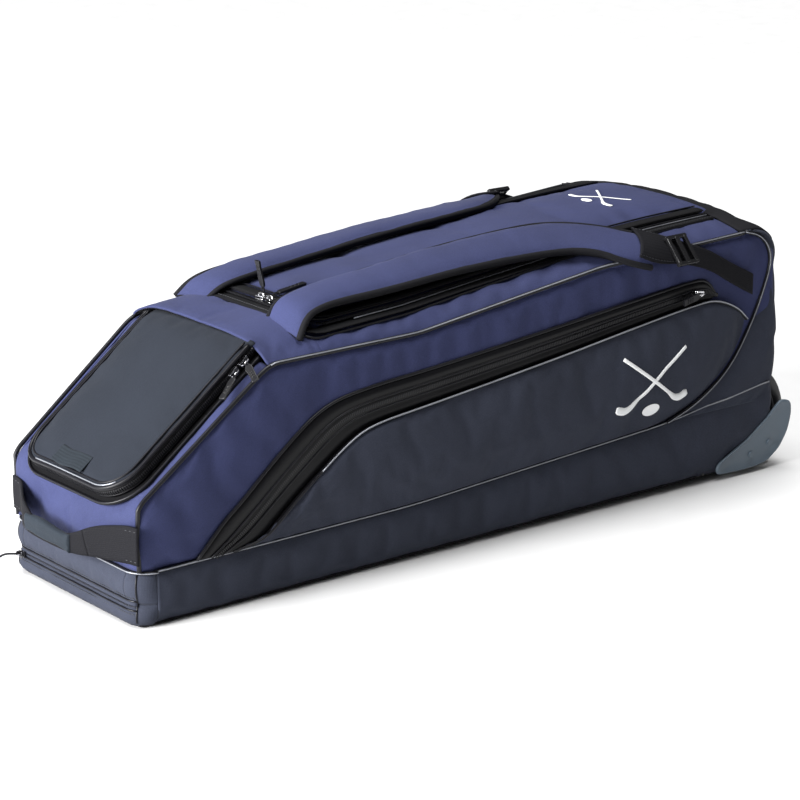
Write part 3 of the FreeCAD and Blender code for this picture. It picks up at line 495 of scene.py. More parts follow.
def beads(name, points, normals, pitch, size, material, body="root", slot=None, shift=0.0, lift=0.0):
    """Small blocks in a row along a line: zipper teeth or stitches. size is (along, across, high)."""
    points = [Vector(p) for p in points]
    count = max(int(sum((b - a).length for a, b in zip(points, points[1:])) / pitch), 2)
    line = resample(points, count)
    if isinstance(normals, list):
        normals = resample(normals, count)
    verts, faces = [], []
    for point, (tangent, across, normal) in zip(line, frames_along(line, normals)):
        base = len(verts)
        for a in (-0.5, 0.5):
            for b in (-0.5, 0.5):
                for c, pinch in ((0, 1.0), (1, BEAD_TAPER)):
                    verts.append(point + tangent * a * size[0] * pinch
                                 + across * (b * size[1] * pinch + shift) + normal * (c * size[2] + lift))
        faces += [tuple(base + k for k in face) for face in BOX_FACES]
    return piece(name, verts, faces, [material], body, slot, smooth=False)


def fix_normals(obj):
    """Turns a closed mesh's faces outwards."""
    mesh = bmesh.new()
    mesh.from_mesh(obj.data)
    bmesh.ops.recalc_face_normals(mesh, faces=mesh.faces)
    mesh.to_mesh(obj.data)
    mesh.free()
    return obj


def prism(name, outline, place, depth, material, body="root", slot=None, bevel=0.0008, segments=2):
    """A plate from a flat outline: place(a, b, c) puts its corners; c runs from 0 to depth."""
    count = len(outline)
    verts = [place(a, b, c) for c in (0, depth) for a, b in outline]
    faces = [tuple(range(count)), tuple(range(2 * count - 1, count - 1, -1))]
    faces += [(k, k + count, (k + 1) % count + count, (k + 1) % count) for k in range(count)]
    obj = fix_normals(piece(name, verts, faces, [material], body, slot, smooth=False))
    if bevel:
        cut = obj.modifiers.new("rounding", "BEVEL")
        cut.width = bevel
        cut.segments = segments
        cut.limit_method = "ANGLE"
        cut.angle_limit = math.radians(35)
        cut.harden_normals = False


def rounded(corners, radius, steps=4):
    """A closed outline with every corner rounded off."""
    result = []
    count = len(corners)
    for index in range(count):
        corner = Vector(corners[index])
        before = Vector(corners[index - 1]) - corner
        after = Vector(corners[(index + 1) % count]) - corner
        reach = min(radius, before.length / 2, after.length / 2)
        start = corner + before.normalized() * reach
        end = corner + after.normalized() * reach
        for k in range(steps + 1):
            t = k / steps
            result.append(tuple(start.lerp(corner, t).lerp(corner.lerp(end, t), t)))
    return result


WHEEL_STEPS = 96


def revolve(name, outline, centre, material, body):
    """A ring turned about an axle along Y. outline is (radius, y) pairs, closed."""
    verts, faces = [], []
    count = len(outline)
    for i in range(WHEEL_STEPS):
        angle = 2 * math.pi * i / WHEEL_STEPS
        for radius, y in outline:
            verts.append(centre + Vector((radius * math.cos(angle), y, radius * math.sin(angle))))
    for i in range(WHEEL_STEPS):
        here, after = i * count, (i + 1) % WHEEL_STEPS * count
        for k in range(count):
            other = (k + 1) % count
            faces.append((here + k, here + other, after + other, after + k))
    return fix_normals(piece(name, verts, faces, [material], body))


# ---------------------------------------------------------------- side walls

BAND_OUTER = [(-0.385, 0.064), (-0.366, 0.085), (-0.351, 0.102), (-0.327, 0.121), (-0.298, 0.148),
              (-0.262, 0.178), (-0.236, 0.197), (-0.205, 0.211), (-0.150, 0.218), (-0.072, 0.223),
              (0.116, 0.241), (0.237, 0.254), (0.318, 0.262), (0.340, 0.260)]
BAND_INNER = [(-0.340, 0.064), (-0.306, 0.071), (-0.289, 0.085), (-0.266, 0.106), (-0.222, 0.141),
              (-0.189, 0.164), (-0.160, 0.176), (-0.081, 0.184), (0.106, 0.206), (0.227, 0.223),
              (0.322, 0.235), (0.350, 0.234), (0.385, 0.218), (0.405, 0.200)]
BAND_END = (0.352, 0.240)
BAND_STEPS = 110
END_SEAM = [(0.282, 0.092), (0.330, 0.108), (0.380, 0.142), (0.415, 0.196), (0.437, 0.245),
            (0.444, 0.270), (0.438, 0.290), (0.424, 0.303), (0.404, 0.3085)]
POCKET_RISE = 0.012
BAND_RISE = 0.0040
POCKET_TOP = smooth_line(BAND_INNER, 90)
POCKET_LOW = smooth_line([(-0.340, 0.064)] + [(x, seam(x) + 0.001) for x in np.linspace(-0.30, 0.27, 9)]
                         + [(0.330, 0.110), (0.378, 0.146), (0.404, 0.188), (0.405, 0.200)], 90)
BAND_HIGH_LINE = smooth_line(BAND_OUTER + [BAND_END], 90)
BAND_LOW_LINE = smooth_line(BAND_INNER[:11] + [(0.346, 0.236), BAND_END], 90)


def on_side(x, z, off, side):
    """A point on a side wall, standing out by off."""
    return Vector((x, side * (half(x) + off), z))


def wall_puff(x, z):
    """How far the stuffed side wall bulges."""
    return 0.0035 * bump((z - seam(x)) / max(edge(x) - seam(x), 0.02))


def on_wall(p, off, side, share=1.0):
    """A point over the bulging side wall, or over a share of its bulge."""
    return on_side(p.x, p.y, wall_puff(p.x, p.y) * share + off, side)


def covered(point):
    """True where the band and the pocket lie over the side wall."""
    low = BAND_OUTER[0][0]
    high = BAND_OUTER[-1][0]
    return point.x > low and point.z < float(np.interp(min(point.x, high), *zip(*BAND_OUTER))) + 0.004


def end_reach(z):
    """How far back the bag reaches at a height, round its upper rear corner."""
    over = min(max(z - (side_line(END) - END_ROUND), 0.0), END_ROUND)
    return END - END_ROUND + math.sqrt(END_ROUND ** 2 - over ** 2)


def round_corner(x_start, x_end, z, u, off, side):
    """A point along a side wall that turns the rear corner at its end."""
    straight = max(x_end - END_CORNER - x_start, 0.001)
    run = u * (straight + END_CORNER * math.pi / 2)
    if run <= straight:
        return on_side(x_start + run, z, off, side)
    angle = (run - straight) / END_CORNER
    x = x_end - END_CORNER + (END_CORNER + off) * math.sin(angle)
    return Vector((x, side * (half(x_end) - END_CORNER + (END_CORNER + off) * math.cos(angle)), z))


def piping(name, line, out, thick=0.0022, highlight_radius=0.0006, highlight_from=-1.0):
    """Corded edge: a black cord with a thin pale strip of painted highlight on its outer side, from some x
    onwards.
    """
    tube(name, line, thick, PIPING, sides=10)
    outs = out if isinstance(out, list) else [Vector(out).normalized()] * len(line)
    # The pale strip is a painted highlight, kept only past the given x, where the cord catches the light.
    strip = [Vector(p) + o * (thick - highlight_radius * 0.35) for p, o in zip(line, outs) if p[0] > highlight_from]
    tube(f"{name}_strip", strip, highlight_radius, HIGHLIGHT_PAINT)


def pocket_rise(u, v, span):
    """How far the side pocket stands out: from its lower seam to its zipped edge."""
    rise = lerp(POCKET_RISE * min(1.0, 0.12 + v * span / 0.045), POCKET_RISE, v ** 3)
    return rise * min(1.0, 0.40 + 0.60 * min(u, 1 - u) / 0.06)


def wall_panels(label, side):
    """The cloth of one side: upper wall, gusset of the lower storey, zip band and pocket."""
    outward = (0, side, 0)

    def upper(u, v):
        x = lerp(NOSE + 0.002, END - 0.008, u)
        low, high = seam(x), edge(x) - 0.0012
        z = lerp(low, high, v)
        span = high - low
        dip = tuck(v * span) + tuck((1 - v) * span, 0.020, 0.006) + tuck(x - NOSE, 0.024, 0.007)
        return on_side(x, z, wall_puff(x, z) - dip, side)
    patch(f"side_panel_{label}_cloth", upper, (0.9, 0.2), outward, BLUE, wrinkle=0.0016, settle=0.004,
          hold=covered)

    def lower(u, v):
        x = lerp(NOSE + 0.021, END, u)
        low, high = gusset_low(x), seam(min(x, END))
        z = lerp(low, high, v)
        dip = tuck((1 - v) * (high - low), 0.010, 0.002)
        dip += tuck(z - underside(x), 0.018, 0.010) if x < 0.36 else tuck(v * (high - low), 0.008, 0.003)
        return round_corner(NOSE + 0.021, END + 0.002, z, u, 0.0028 * bump(v) - dip + 0.001, side)
    patch(f"base_gusset_{label}_cloth", lower, (0.93, 0.07), outward, CHARCOAL, settle=0.003)

    def zip_band(u, v):
        p = path_at(BAND_LOW_LINE, u).lerp(path_at(BAND_HIGH_LINE, u), v)
        swell = 0.0018 * abs(math.sin(math.pi * 3 * v)) * bump(u) ** 0.3
        return on_wall(p, BAND_RISE + swell - tuck((1 - v) * 0.03, 0.006, 0.003), side)
    patch(f"side_zip_band_{label}_cloth", zip_band, (0.75, 0.036), outward, COATED, step=0.004, thick=0.003)

    def side_pocket(u, v):
        a, b = path_at(POCKET_LOW, u), path_at(POCKET_TOP, u)
        span = (b - a).length
        puff = 0.004 * bump(v) * bump(u)
        dip = tuck((1 - v) * span, 0.008, 0.0025)
        return on_wall(a.lerp(b, v), pocket_rise(u, v, span) + puff - dip, side, 0.5)
    patch(f"side_pocket_{label}_cloth", side_pocket, (0.75, 0.13), outward, CHARCOAL, wrinkle=0.0018,
          step=0.006, settle=0.005)

    def pocket_wall(u, v):
        return on_wall(path_at(POCKET_TOP, u), (pocket_rise(u, 1, 0.1) - 0.001) * v, side, 0.5)
    patch(f"pocket_wall_{label}", pocket_wall, (0.75, 0.012), (0, side * 0.2, 1), COATED, step=0.004,
          wrinkle=0.0, thick=0.0012)


def wall_trim(label, side):
    """Cords, piping and the zip's coil on one side."""
    trim = []
    for index, p in enumerate(POCKET_TOP):
        rise = pocket_rise(index / (len(POCKET_TOP) - 1), 1, 0.1)
        trim.append(on_side(p.x, p.y + 0.0008, wall_puff(p.x, p.y) * 0.5 + rise - 0.0004, side))
    piping(f"pocket_piping_{label}", trim, (0, side, 0.6), thick=0.0014, highlight_radius=0.0009, highlight_from=-0.235)

    def along_band(share, off):
        shares = [k / (BAND_STEPS - 1) for k in range(BAND_STEPS)]
        return [on_wall(path_at(BAND_LOW_LINE, u).lerp(path_at(BAND_HIGH_LINE, u), share), off, side)
                for u in shares]
    for index, share in enumerate((0.36, 0.64)):
        tube(f"side_zip_cord_{index}_{label}", along_band(share, BAND_RISE + 0.0011), 0.0011, PIPING)
    beads(f"side_zip_coil_{label}", along_band(0.5, BAND_RISE + 0.0008), (0, side, 0), 0.0024,
          (0.0014, 0.0052, 0.0012), TEETH)
    tube(f"band_piping_{label}", along_band(1.0, BAND_RISE * 0.5), 0.0020, PIPING)
    base_line = [on_side(x, seam(x), 0.0008 + 0.0045 * min(max((x - 0.345) / 0.03, 0), 1), side)
                 for x in np.linspace(NOSE + 0.022, END - 0.012, 120)]
    piping(f"base_piping_{label}", base_line, (0, side, 0.25), thick=0.0019, highlight_radius=0.0009)
    corner = [(NOSE + 0.0030, side * (half(NOSE) - 0.0030), z) for z in np.linspace(0.064, 0.116, 10)]
    run_x = [NOSE + 0.003 + 0.012 * t * t for t in np.linspace(0.1, 1, 8)]
    run_x += list(np.linspace(NOSE + 0.02, 0.402, 150))
    top_line = [(x, side * (half(x) - 0.0022), edge(x) - 0.0010) for x in run_x]
    outs = [Vector((-0.6, side, 0.0)).normalized()] * len(corner)
    outs += [Vector((0, side * 0.7, 0.7)).normalized()] * len(top_line)
    piping(f"edge_piping_{label}", corner + top_line, outs, thick=0.0026, highlight_radius=0.0008, highlight_from=RIDGE.x)
    seam_line = [on_side(p.x, p.y, 0.0042 - 0.0058 * (i / 69) ** 6, side)
                 for i, p in enumerate(smooth_line(END_SEAM, 70))]
    piping(f"end_piping_{label}", seam_line, (-0.35, side, 0), thick=0.0024)


for label, side in SIDES:
    wall_panels(label, side)
    wall_trim(label, side)

# ---------------------------------------------------------------- wheel end

END_RISE = smooth_line(END_SEAM, 80)
TUB_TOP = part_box("wheel_tub_right")[1][2] + 0.002
TUB_HALF = 0.126


def end_wrap(label, side):
    """The end cap's cloth where it comes round onto one side."""
    def place(u, v):
        a = path_at(END_RISE, v)
        reach = max(end_reach(a.y), a.x + 0.002)
        swell = 0.0035 * bump(u) * bump(min(v * 1.3, 1)) + 0.0030 * bump((a.y - 0.11) / 0.10)
        off = (0.0028 + swell) * (1 - v ** 8) - tuck(u * (reach - a.x), 0.008, 0.002)
        return round_corner(a.x, reach, a.y, u, off, side)
    patch(f"end_wrap_{label}_cloth", place, (0.14, 0.26), (0, side, 0), CHARCOAL, wrinkle=0.0018,
          settle=0.003)


def end_upper(u, v):
    """The end face: bulging over the wheels and rounding into the top."""
    across = lerp(-1, 1, u)
    z = lerp(TUB_TOP - 0.012, side_line(END) - END_ROUND * 0.5, v)
    y = across * (half(END) - END_CORNER - 0.001)
    swell = (0.003 + 0.009 * bump((z - 0.11) / 0.12)) * min(1.0, (1 - abs(across)) * 8)
    return (end_reach(z) + 0.002 + swell, y, z + (crown(END) - side_line(END)) * (1 - across ** 2) * v)


def end_lower(u, v):
    return (END - 0.001, lerp(-TUB_HALF, TUB_HALF, u), lerp(FLOOR_RISE + 0.001, TUB_TOP - 0.010, v))


def cap_top(u, v):
    """Black cloth behind the lid, going over the rounded end."""
    x = lerp(LID_HIGH[0] + 0.001, END - 0.0045, math.sin(u * math.pi / 2))
    y = lerp(-1, 1, v) * (half(x) - 0.004)
    return (x, y, top_z(x, y) - tuck(half(x) - abs(y), 0.014, 0.003) + 0.0012)


for label, side in SIDES:
    end_wrap(label, side)
patch("end_wall_upper_cloth", end_upper, (0.33, 0.17), X, CHARCOAL, settle=0.004)
patch("end_wall_lower_cloth", end_lower, (0.25, 0.13), X, CHARCOAL)
patch("end_cap_top_cloth", cap_top, (0.075, 0.32), Z, BLACK, settle=0.002)

# ---------------------------------------------------------------- rims, collar, slope and nose

COLLAR_FRONT = RIDGE.x - 0.002
COLLAR_SEAM = -0.222
SLOPE_DIR = Vector((RIDGE.x - NOSE, 0, RIDGE.z - NOSE_TOP))
SLOPE_LENGTH = SLOPE_DIR.length
SLOPE_DIR.normalize()
SLOPE_NORMAL = Vector((-SLOPE_DIR.z, 0, SLOPE_DIR.x))
WINDOW_LOW, WINDOW_HIGH, WINDOW_HALF = 0.030, 0.190, 0.084
NOSE_OVER = 0.016


def rim(label, side):
    """The blue cloth beside the lid."""
    def place(u, v):
        x = lerp(LID_LOW[0] - 0.008, LID_HIGH[0] + 0.003, u)
        y = lerp(RIM_HALF - 0.002, half(x) - 0.002, v)
        dip = tuck((1 - v) * (half(x) - RIM_HALF), 0.016, 0.0035) + tuck(v * 0.05, 0.006, 0.002)
        return (x, side * y, top_z(x, y) - dip - 0.001)
    patch(f"top_rim_{label}_cloth", place, (0.61, 0.05), Z, BLUE, wrinkle=0.0018, settle=0.003)


def collar(u, v):
    x = lerp(COLLAR_FRONT, LID_LOW[0] - 0.004, u)
    y = lerp(-1, 1, v) * (half(x) - 0.002)
    seam_dip = 0.0022 * math.exp(-((x - COLLAR_SEAM) / 0.003) ** 2)
    dip = tuck(half(x) - abs(y), 0.016, 0.004) + tuck((1 - u) * 0.07, 0.008, 0.002) + seam_dip
    return (x, y, top_z(max(x, RIDGE.x + 0.012), y) - dip)


def on_slope(run, y, lift):
    """A point over the sloped front: run up the slope, lift square to it."""
    return Vector((NOSE, 0, NOSE_TOP)) + SLOPE_DIR * run + SLOPE_NORMAL * lift + Vector((0, y, 0))


def slope_strip(name, run_start, run_end, across_start, across_end, side):
    """One part of the slope's cloth around the pocket mouth."""
    def place(u, v):
        run = lerp(run_start, run_end, u)
        reach = half(NOSE + run * SLOPE_DIR.x) - 0.002
        y = lerp(across_start, reach if across_end is None else across_end, v)
        dip = tuck(reach - abs(y), 0.020, 0.006) + tuck(SLOPE_LENGTH - run, 0.01, 0.002)
        return on_slope(run, side * y, -dip)
    size = (run_end - run_start, 0.04 if across_end is None else abs(across_end - across_start))
    patch(name, place, size, SLOPE_NORMAL, BLUE, wrinkle=0.0014, step=0.006, settle=0.002)


def pocket_tub(u, v):
    """Lining of the sloped pocket, a shallow tray with soft corners."""
    a, b = lerp(-1, 1, u), lerp(-1, 1, v)
    steep = 0.72
    depth = 0.040 * min(1.0, (1 - max(abs(a), abs(b))) / (1 - steep))
    run = (WINDOW_LOW + WINDOW_HIGH) / 2 + a * (WINDOW_HIGH - WINDOW_LOW) / 2
    return on_slope(run, b * WINDOW_HALF, -0.003 - depth)


for label, side in SIDES:
    rim(label, side)
patch("collar_panel_cloth", collar, (0.075, 0.26), Z, BLUE, wrinkle=0.0022, step=0.005, settle=0.003)
for label, side in SIDES:
    slope_strip(f"slope_panel_{label}_cloth", NOSE_OVER, SLOPE_LENGTH, WINDOW_HALF, None, side)
slope_strip("slope_panel_low_cloth", NOSE_OVER, WINDOW_LOW, -WINDOW_HALF, WINDOW_HALF, 1)
slope_strip("slope_panel_high_cloth", WINDOW_HIGH, SLOPE_LENGTH, -WINDOW_HALF, WINDOW_HALF, 1)
patch("pocket_lining_cloth", pocket_tub, (0.2, 0.2), SLOPE_NORMAL, LINING, thick=0.001, step=0.005)

nose_profile = [Vector((NOSE, z)) for z in np.linspace(0.0625, NOSE_ROUND_Z, 20)]
nose_profile += [Vector((NOSE + NOSE_BEND * (1 - math.cos(a)), NOSE_ROUND_Z + NOSE_BEND * math.sin(a)))
                 for a in np.linspace(0.1, math.radians(52.9), 9)]
nose_profile += [Vector((NOSE + run * SLOPE_DIR.x, NOSE_TOP + run * SLOPE_DIR.z)) for run in (0.0165, 0.018)]
nose_profile = resample(nose_profile, 60)


def nose_face(u, v):
    """The upright nose, rounding back into the slope."""
    p = path_at(nose_profile, v)
    y = lerp(-1, 1, u) * (half(p.x) - 0.003)
    dip = tuck(half(NOSE) - abs(y), 0.026, 0.009) * (1 - 0.3 * v) + tuck(p.y - 0.062, 0.010, 0.003)
    out = 0.0075 * bump(0.08 + 0.84 * u) * math.sin(math.pi * min(v * 1.05, 1.0)) - dip
    tilt = math.radians(53) * max(0.0, (v - 0.55) / 0.45)
    return (p.x - out * math.cos(tilt), y, p.y + out * math.sin(tilt))


patch("nose_panel_cloth", nose_face, (0.24, 0.10), (-1, 0, 0.3), BLUE, wrinkle=0.0026, step=0.005,
      settle=0.004)

# ---------------------------------------------------------------- lower nose, all round its two corners

CORNER = 0.022
FLAP_Y = 0.100
SILL = 0.026
NOSE_FLAT = half(NOSE) - CORNER
QUARTER = CORNER * math.pi / 2
NOSE_ROUND = 2 * QUARTER + 2 * NOSE_FLAT
CORNER_SEAM = 0.95 * CORNER / NOSE_ROUND
SPLIT = (NOSE_ROUND / 2 - FLAP_Y) / NOSE_ROUND
CORNER_TOP = 0.0615


def nose_plan(t):
    """Plan of the lower nose, from the right side round to the left: point and outward direction."""
    along = t * NOSE_ROUND
    past = along - QUARTER - 2 * NOSE_FLAT
    if along < QUARTER:
        out = Vector((-math.sin(along / CORNER), -math.cos(along / CORNER), 0))
        return Vector((NOSE + CORNER, -NOSE_FLAT, 0)) + out * CORNER, out
    if past > 0:
        out = Vector((-math.cos(past / CORNER), math.sin(past / CORNER), 0))
        return Vector((NOSE + CORNER, NOSE_FLAT, 0)) + out * CORNER, out
    return Vector((NOSE, -NOSE_FLAT + along - QUARTER, 0)), Vector((-1, 0, 0))


def lower_nose(t, z):
    """A point of the lower nose's cloth: two padded rolls, one on each side of its zip."""
    point, out = nose_plan(t)
    full = min(min(t, 1 - t) / CORNER_SEAM, 1.0) ** 0.5
    above = bump((z - SILL) / (seam(NOSE) - SILL))
    below = bump((z + 0.008) / (SILL + 0.008))
    rolls = 0.0055 * above + 0.0060 * below - 0.0012 - tuck(z, 0.012, 0.006)
    plain = 0.0010 + 0.0028 * bump(z / seam(NOSE)) - tuck(z, 0.018, 0.010)
    taper = (half(point.x) - half(NOSE)) * abs(out.y)
    off = lerp(plain, rolls, full) + taper - tuck(seam(NOSE) - z, 0.008, 0.0025)
    return point + out * off + Vector((0, 0, z))


def nose_strip(name, t0, t1, z0, z1, body="root"):
    """One panel of the lower nose."""
    def place(u, v):
        return lower_nose(lerp(t0, t1, u), lerp(z0, z1, v))
    patch(name, place, ((t1 - t0) * NOSE_ROUND, z1 - z0), -X, CHARCOAL, body, step=0.004, wrinkle=0.0022,
          settle=0.002)


def zip_line(name, t0, t1, z):
    """A covered zip along the lower nose: a narrow welt between two cords, its coil and its stitching."""
    ts = np.linspace(t0, t1, 60)
    outs = [nose_plan(t)[1] for t in ts]

    def lower_line(dz, lift):
        return [lower_nose(t, z + dz) + out * lift for t, out in zip(ts, outs)]
    band(f"{name}_welt", lower_line(0, 0.0006), outs, 0.010, 0.001, CHARCOAL, lift=0.0006, crown_by=0.0009)
    beads(f"{name}_coil", lower_line(-0.0002, 0.0009), outs, 0.0024, (0.0013, 0.0020, 0.0009), TEETH,
          lift=0.0008)
    for index, dz in enumerate((-0.0048, 0.0050)):
        tube(f"{name}_cord_{index}", lower_line(dz, 0.0007), 0.0011, PIPING)
        beads(f"{name}_stitch_{index}", lower_line(dz * 1.75, 0.0), outs, 0.0042, (0.0030, 0.0007, 0.0005),
              THREAD, lift=0.0003)


nose_strip("base_nose_sill_cloth", 0.0, 1.0, 0.0005, SILL)
nose_strip("base_nose_corner_right", 0.0, SPLIT, SILL, CORNER_TOP)
nose_strip("base_nose_corner_left", 1 - SPLIT, 1.0, SILL, CORNER_TOP)
nose_strip("base_nose_flap_cloth", SPLIT + 0.001, 1 - SPLIT - 0.001, SILL + 0.0015, 0.0605, "base_flap")
seam_outs = [nose_plan(t)[1] for t in np.linspace(0, 1, 70)]
nose_seam = [lower_nose(t, 0.0619) + out * 0.0042 for t, out in zip(np.linspace(0, 1, 70), seam_outs)]
piping("nose_base_piping", nose_seam, seam_outs, thick=0.0019, highlight_radius=0.0007)
zip_line("nose_zip", CORNER_SEAM, 1 - CORNER_SEAM, SILL - 0.002)
for label, t in (("right", CORNER_SEAM), ("left", 1 - CORNER_SEAM)):
    corner_line = [lower_nose(t, z) + nose_plan(t)[1] * 0.0004 for z in np.linspace(0.006, 0.059, 14)]
    tube(f"nose_corner_seam_{label}", corner_line, 0.0009, PIPING)

# ---------------------------------------------------------------- lid

LID_CLOTH_FRONT = LID_LOW[0] + 0.004


def lid_cloth(u, v):
    x = lerp(LID_CLOTH_FRONT, LID_HIGH[0] + 0.010, u)
    y = lerp(-1, 1, v) * (LID_HALF - 0.0005)
    to_side = (1 - abs(lerp(-1, 1, v))) * LID_HALF
    dip = tuck(to_side, 0.014, 0.0035) + tuck(x - LID_CLOTH_FRONT, 0.030, 0.0045)
    puff = 0.004 * bump(u) ** 0.5 * bump(v) ** 0.5
    return (x, y, top_z(x, y) + 0.003 + puff - dip)


def round_lid(reach, front, lift):
    """A line round the lid's three free edges: reach outside its sides, and its own place in front."""
    y = LID_HALF + reach
    corner = 0.020
    right = [(x, -y) for x in np.linspace(LID_HIGH[0] - 0.005, front + corner, 70)]
    bend = [(front + corner * (1 - math.sin(a)), -y + corner * (1 - math.cos(a)))
            for a in np.linspace(0.15, math.pi / 2, 6)]
    across = [(front, v) for v in np.linspace(-y + corner, y - corner, 26)[1:-1]]
    path = right + bend + across + [(x, -v) for x, v in reversed(right + bend)]
    return [Vector((x, y, top_z(x, y) + lift)) for x, y in path]


lid = patch("lid_panel_cloth", lid_cloth, (0.62, 0.2), Z, BLUE, None, wrinkle=0.0024, settle=0.004)
band("lid_zip_tape_rim", round_lid(0.0105, -0.2195, 0.0008), Z, 0.018, 0.001, TAPE, lift=0.0008)
band("lid_zip_tape_lid", round_lid(-0.006, -0.1990, 0.0040), Z, 0.017, 0.001, TAPE, "lid", lift=0.0016,
     crown_by=0.001)
beads("lid_zip_coil", round_lid(0.0032, -0.2100, 0.0016), Z, 0.0026, (0.0015, 0.0062, 0.0017), TEETH)
tube("lid_piping", round_lid(-0.0140, -0.1900, 0.0062), 0.0011, PIPING, "lid")
tube("lid_zip_cord", round_lid(-0.0010, -0.2055, 0.0038), 0.0014, PIPING, "lid")
tube("rim_zip_cord", round_lid(0.0190, -0.2285, 0.0010), 0.0014, PIPING)
beads("rim_stitch", round_lid(0.0150, -0.2235, 0.0022), Z, 0.0044, (0.0031, 0.0008, 0.0006), THREAD,
      lift=0.0002)
# Painted highlight: a pale line along the rim's zip, only towards the rear, where light catches it.
rim_highlight_points = [p for p in round_lid(0.0075, -0.2160, 0.0022) if p.x > -0.16]
for label, side in SIDES:
    tube(f"lid_zip_highlight_{label}", [p for p in rim_highlight_points if p.y * side > 0], 0.0007, HIGHLIGHT_PAINT, sides=6)

# ---------------------------------------------------------------- flap over the sloped pocket

FLAP_NEAR, FLAP_FAR = 0.102, 0.094
FLAP_TOP, FLAP_LOW = 0.220, -0.002
FLAP_RISE = 0.019
FLAP_CORNER = 0.040


def flap_reach(y):
    """Half width of the flap on the side of a point; the far side has slumped inwards."""
    return FLAP_NEAR if y <= 0 else FLAP_FAR


def flap_low(y):
    """Where the flap's rounded hem lies at a distance from its middle."""
    over = abs(y) - (flap_reach(y) - FLAP_CORNER)
    if over <= 0:
        return FLAP_LOW
    return FLAP_LOW + FLAP_CORNER - math.sqrt(max(FLAP_CORNER ** 2 - over ** 2, 0))


def flap_lift(y):
    """Height of the flap's top above the slope."""
    return FLAP_RISE - 0.006 * min(max(y / FLAP_FAR, 0.0), 1.0) ** 2


def flap_cloth(u, v):
    across = lerp(-1, 1, v)
    y = across * flap_reach(across)
    low = flap_low(y * 0.999)
    run = lerp(low, FLAP_TOP + 0.007, u)
    puff = 0.0030 * bump(u) ** 0.6 * bump(v) ** 0.6
    top = flap_lift(y) - 0.006 * max(0.0, (run - FLAP_TOP + 0.012) / 0.019)
    return on_slope(run, y, top + puff - tuck(min((1 - abs(across)) * FLAP_NEAR, run - low), 0.010, 0.002))


def flap_outline(inset):
    """Run and y round the flap's free edges, from the right of the hinge to the left of it."""
    halves = []
    low = FLAP_LOW + FLAP_CORNER
    corner = FLAP_CORNER - inset
    for sign in (-1, 1):
        reach = flap_reach(sign)
        line = [(run, sign * (reach - inset)) for run in np.linspace(FLAP_TOP - 0.002, low, 30)]
        line += [(low - corner * math.sin(a), sign * (reach - FLAP_CORNER + corner * math.cos(a)))
                 for a in np.linspace(0.1, math.pi / 2, 12)]
        line += [(FLAP_LOW + inset, y) for y in np.linspace(sign * (reach - FLAP_CORNER), 0, 8)[1:]]
        halves.append(line)
    return halves[0] + list(reversed(halves[1][:-1]))


def outward_from_flap(point):
    """Direction from the flap's middle to a point of its outline."""
    run, y = point
    core = flap_reach(y) - FLAP_CORNER
    away = SLOPE_DIR * (run - max(run, FLAP_LOW + FLAP_CORNER)) + Vector((0, y - max(-core, min(core, y)), 0))
    return away.normalized()


def round_flap(inset, lift):
    """A line round the flap; lift is measured from its top surface."""
    return [on_slope(run, y, flap_lift(y) + lift) for run, y in flap_outline(inset)]


def flap_gusset():
    """The flap's upright zipper gusset, with its coil and stitching."""
    outline = resample([Vector(p) for p in flap_outline(0.0)], 130)
    points = [on_slope(p.x, p.y, flap_lift(p.y) / 2 + 0.0002) for p in outline]
    normals = [outward_from_flap(p) for p in outline]
    widths = [flap_lift(p.y) - 0.0025 for p in outline]
    band("flap_rim_cloth", points, normals, widths, 0.003, TAPE, "flap", "panel_black", crown_by=0.0022,
         steps=8)
    beads("flap_zip_coil", points, normals, 0.0026, (0.0016, 0.0054, 0.0018), TEETH, "flap", shift=0.0005,
          lift=0.0016)
    for index, high in enumerate((-0.0045, 0.0052)):
        cord = [p + SLOPE_NORMAL * high + n * 0.0014 for p, n in zip(points, normals)]
        tube(f"flap_gusset_cord_{index}", cord, 0.0009, PIPING, "flap", sides=6)


def flap_label(u, v):
    """A small ribbed tab sewn to the flap, with no lettering."""
    ribs = 0.0010 * abs(math.sin(math.pi * 6 * v))
    sway = 0.0008 * math.sin(u * 7)
    lift = FLAP_RISE + 0.0042 + ribs + sway * (1 - v) ** 2
    return on_slope(lerp(0.003, 0.025, v) + sway, lerp(-0.034, 0.024, u), lift)


flap = patch("flap_panel_cloth", flap_cloth, (0.225, 0.2), SLOPE_NORMAL, FLAP_GREY, None, wrinkle=0.0012,
             thick=0.003, settle=0.003)
flap_gusset()
tube("flap_piping_outer", round_flap(-0.0008, -0.0012), 0.0023, PIPING, "flap")
tube("flap_piping_inner", round_flap(0.0054, 0.0006), 0.0013, PIPING, "flap")
# Painted highlight along the flap's lower hem, leaving out its left end, where light catches it.
hem = [p for p in flap_outline(0.0012) if p[0] < 0.012 and p[1] < 0.055]
tube("flap_hem_highlight", [on_slope(run, y, flap_lift(y) + 0.0012) for run, y in hem], 0.0008, HIGHLIGHT_PAINT, "flap",
     sides=6)
band("flap_base_tape", [on_slope(run, y, 0.001) for run, y in flap_outline(-0.0035)],
     tuple(SLOPE_NORMAL), 0.014, 0.0012, TAPE, lift=0.0008)
tube("flap_base_piping", [on_slope(run, y, 0.0026) for run, y in flap_outline(-0.0090)], 0.0016, PIPING)
patch("flap_label_cloth", flap_label, (0.054, 0.021), SLOPE_NORMAL, LABEL, "flap", thick=0.0012,
      wrinkle=0.0, step=0.0012)

# ---------------------------------------------------------------- shoulder straps

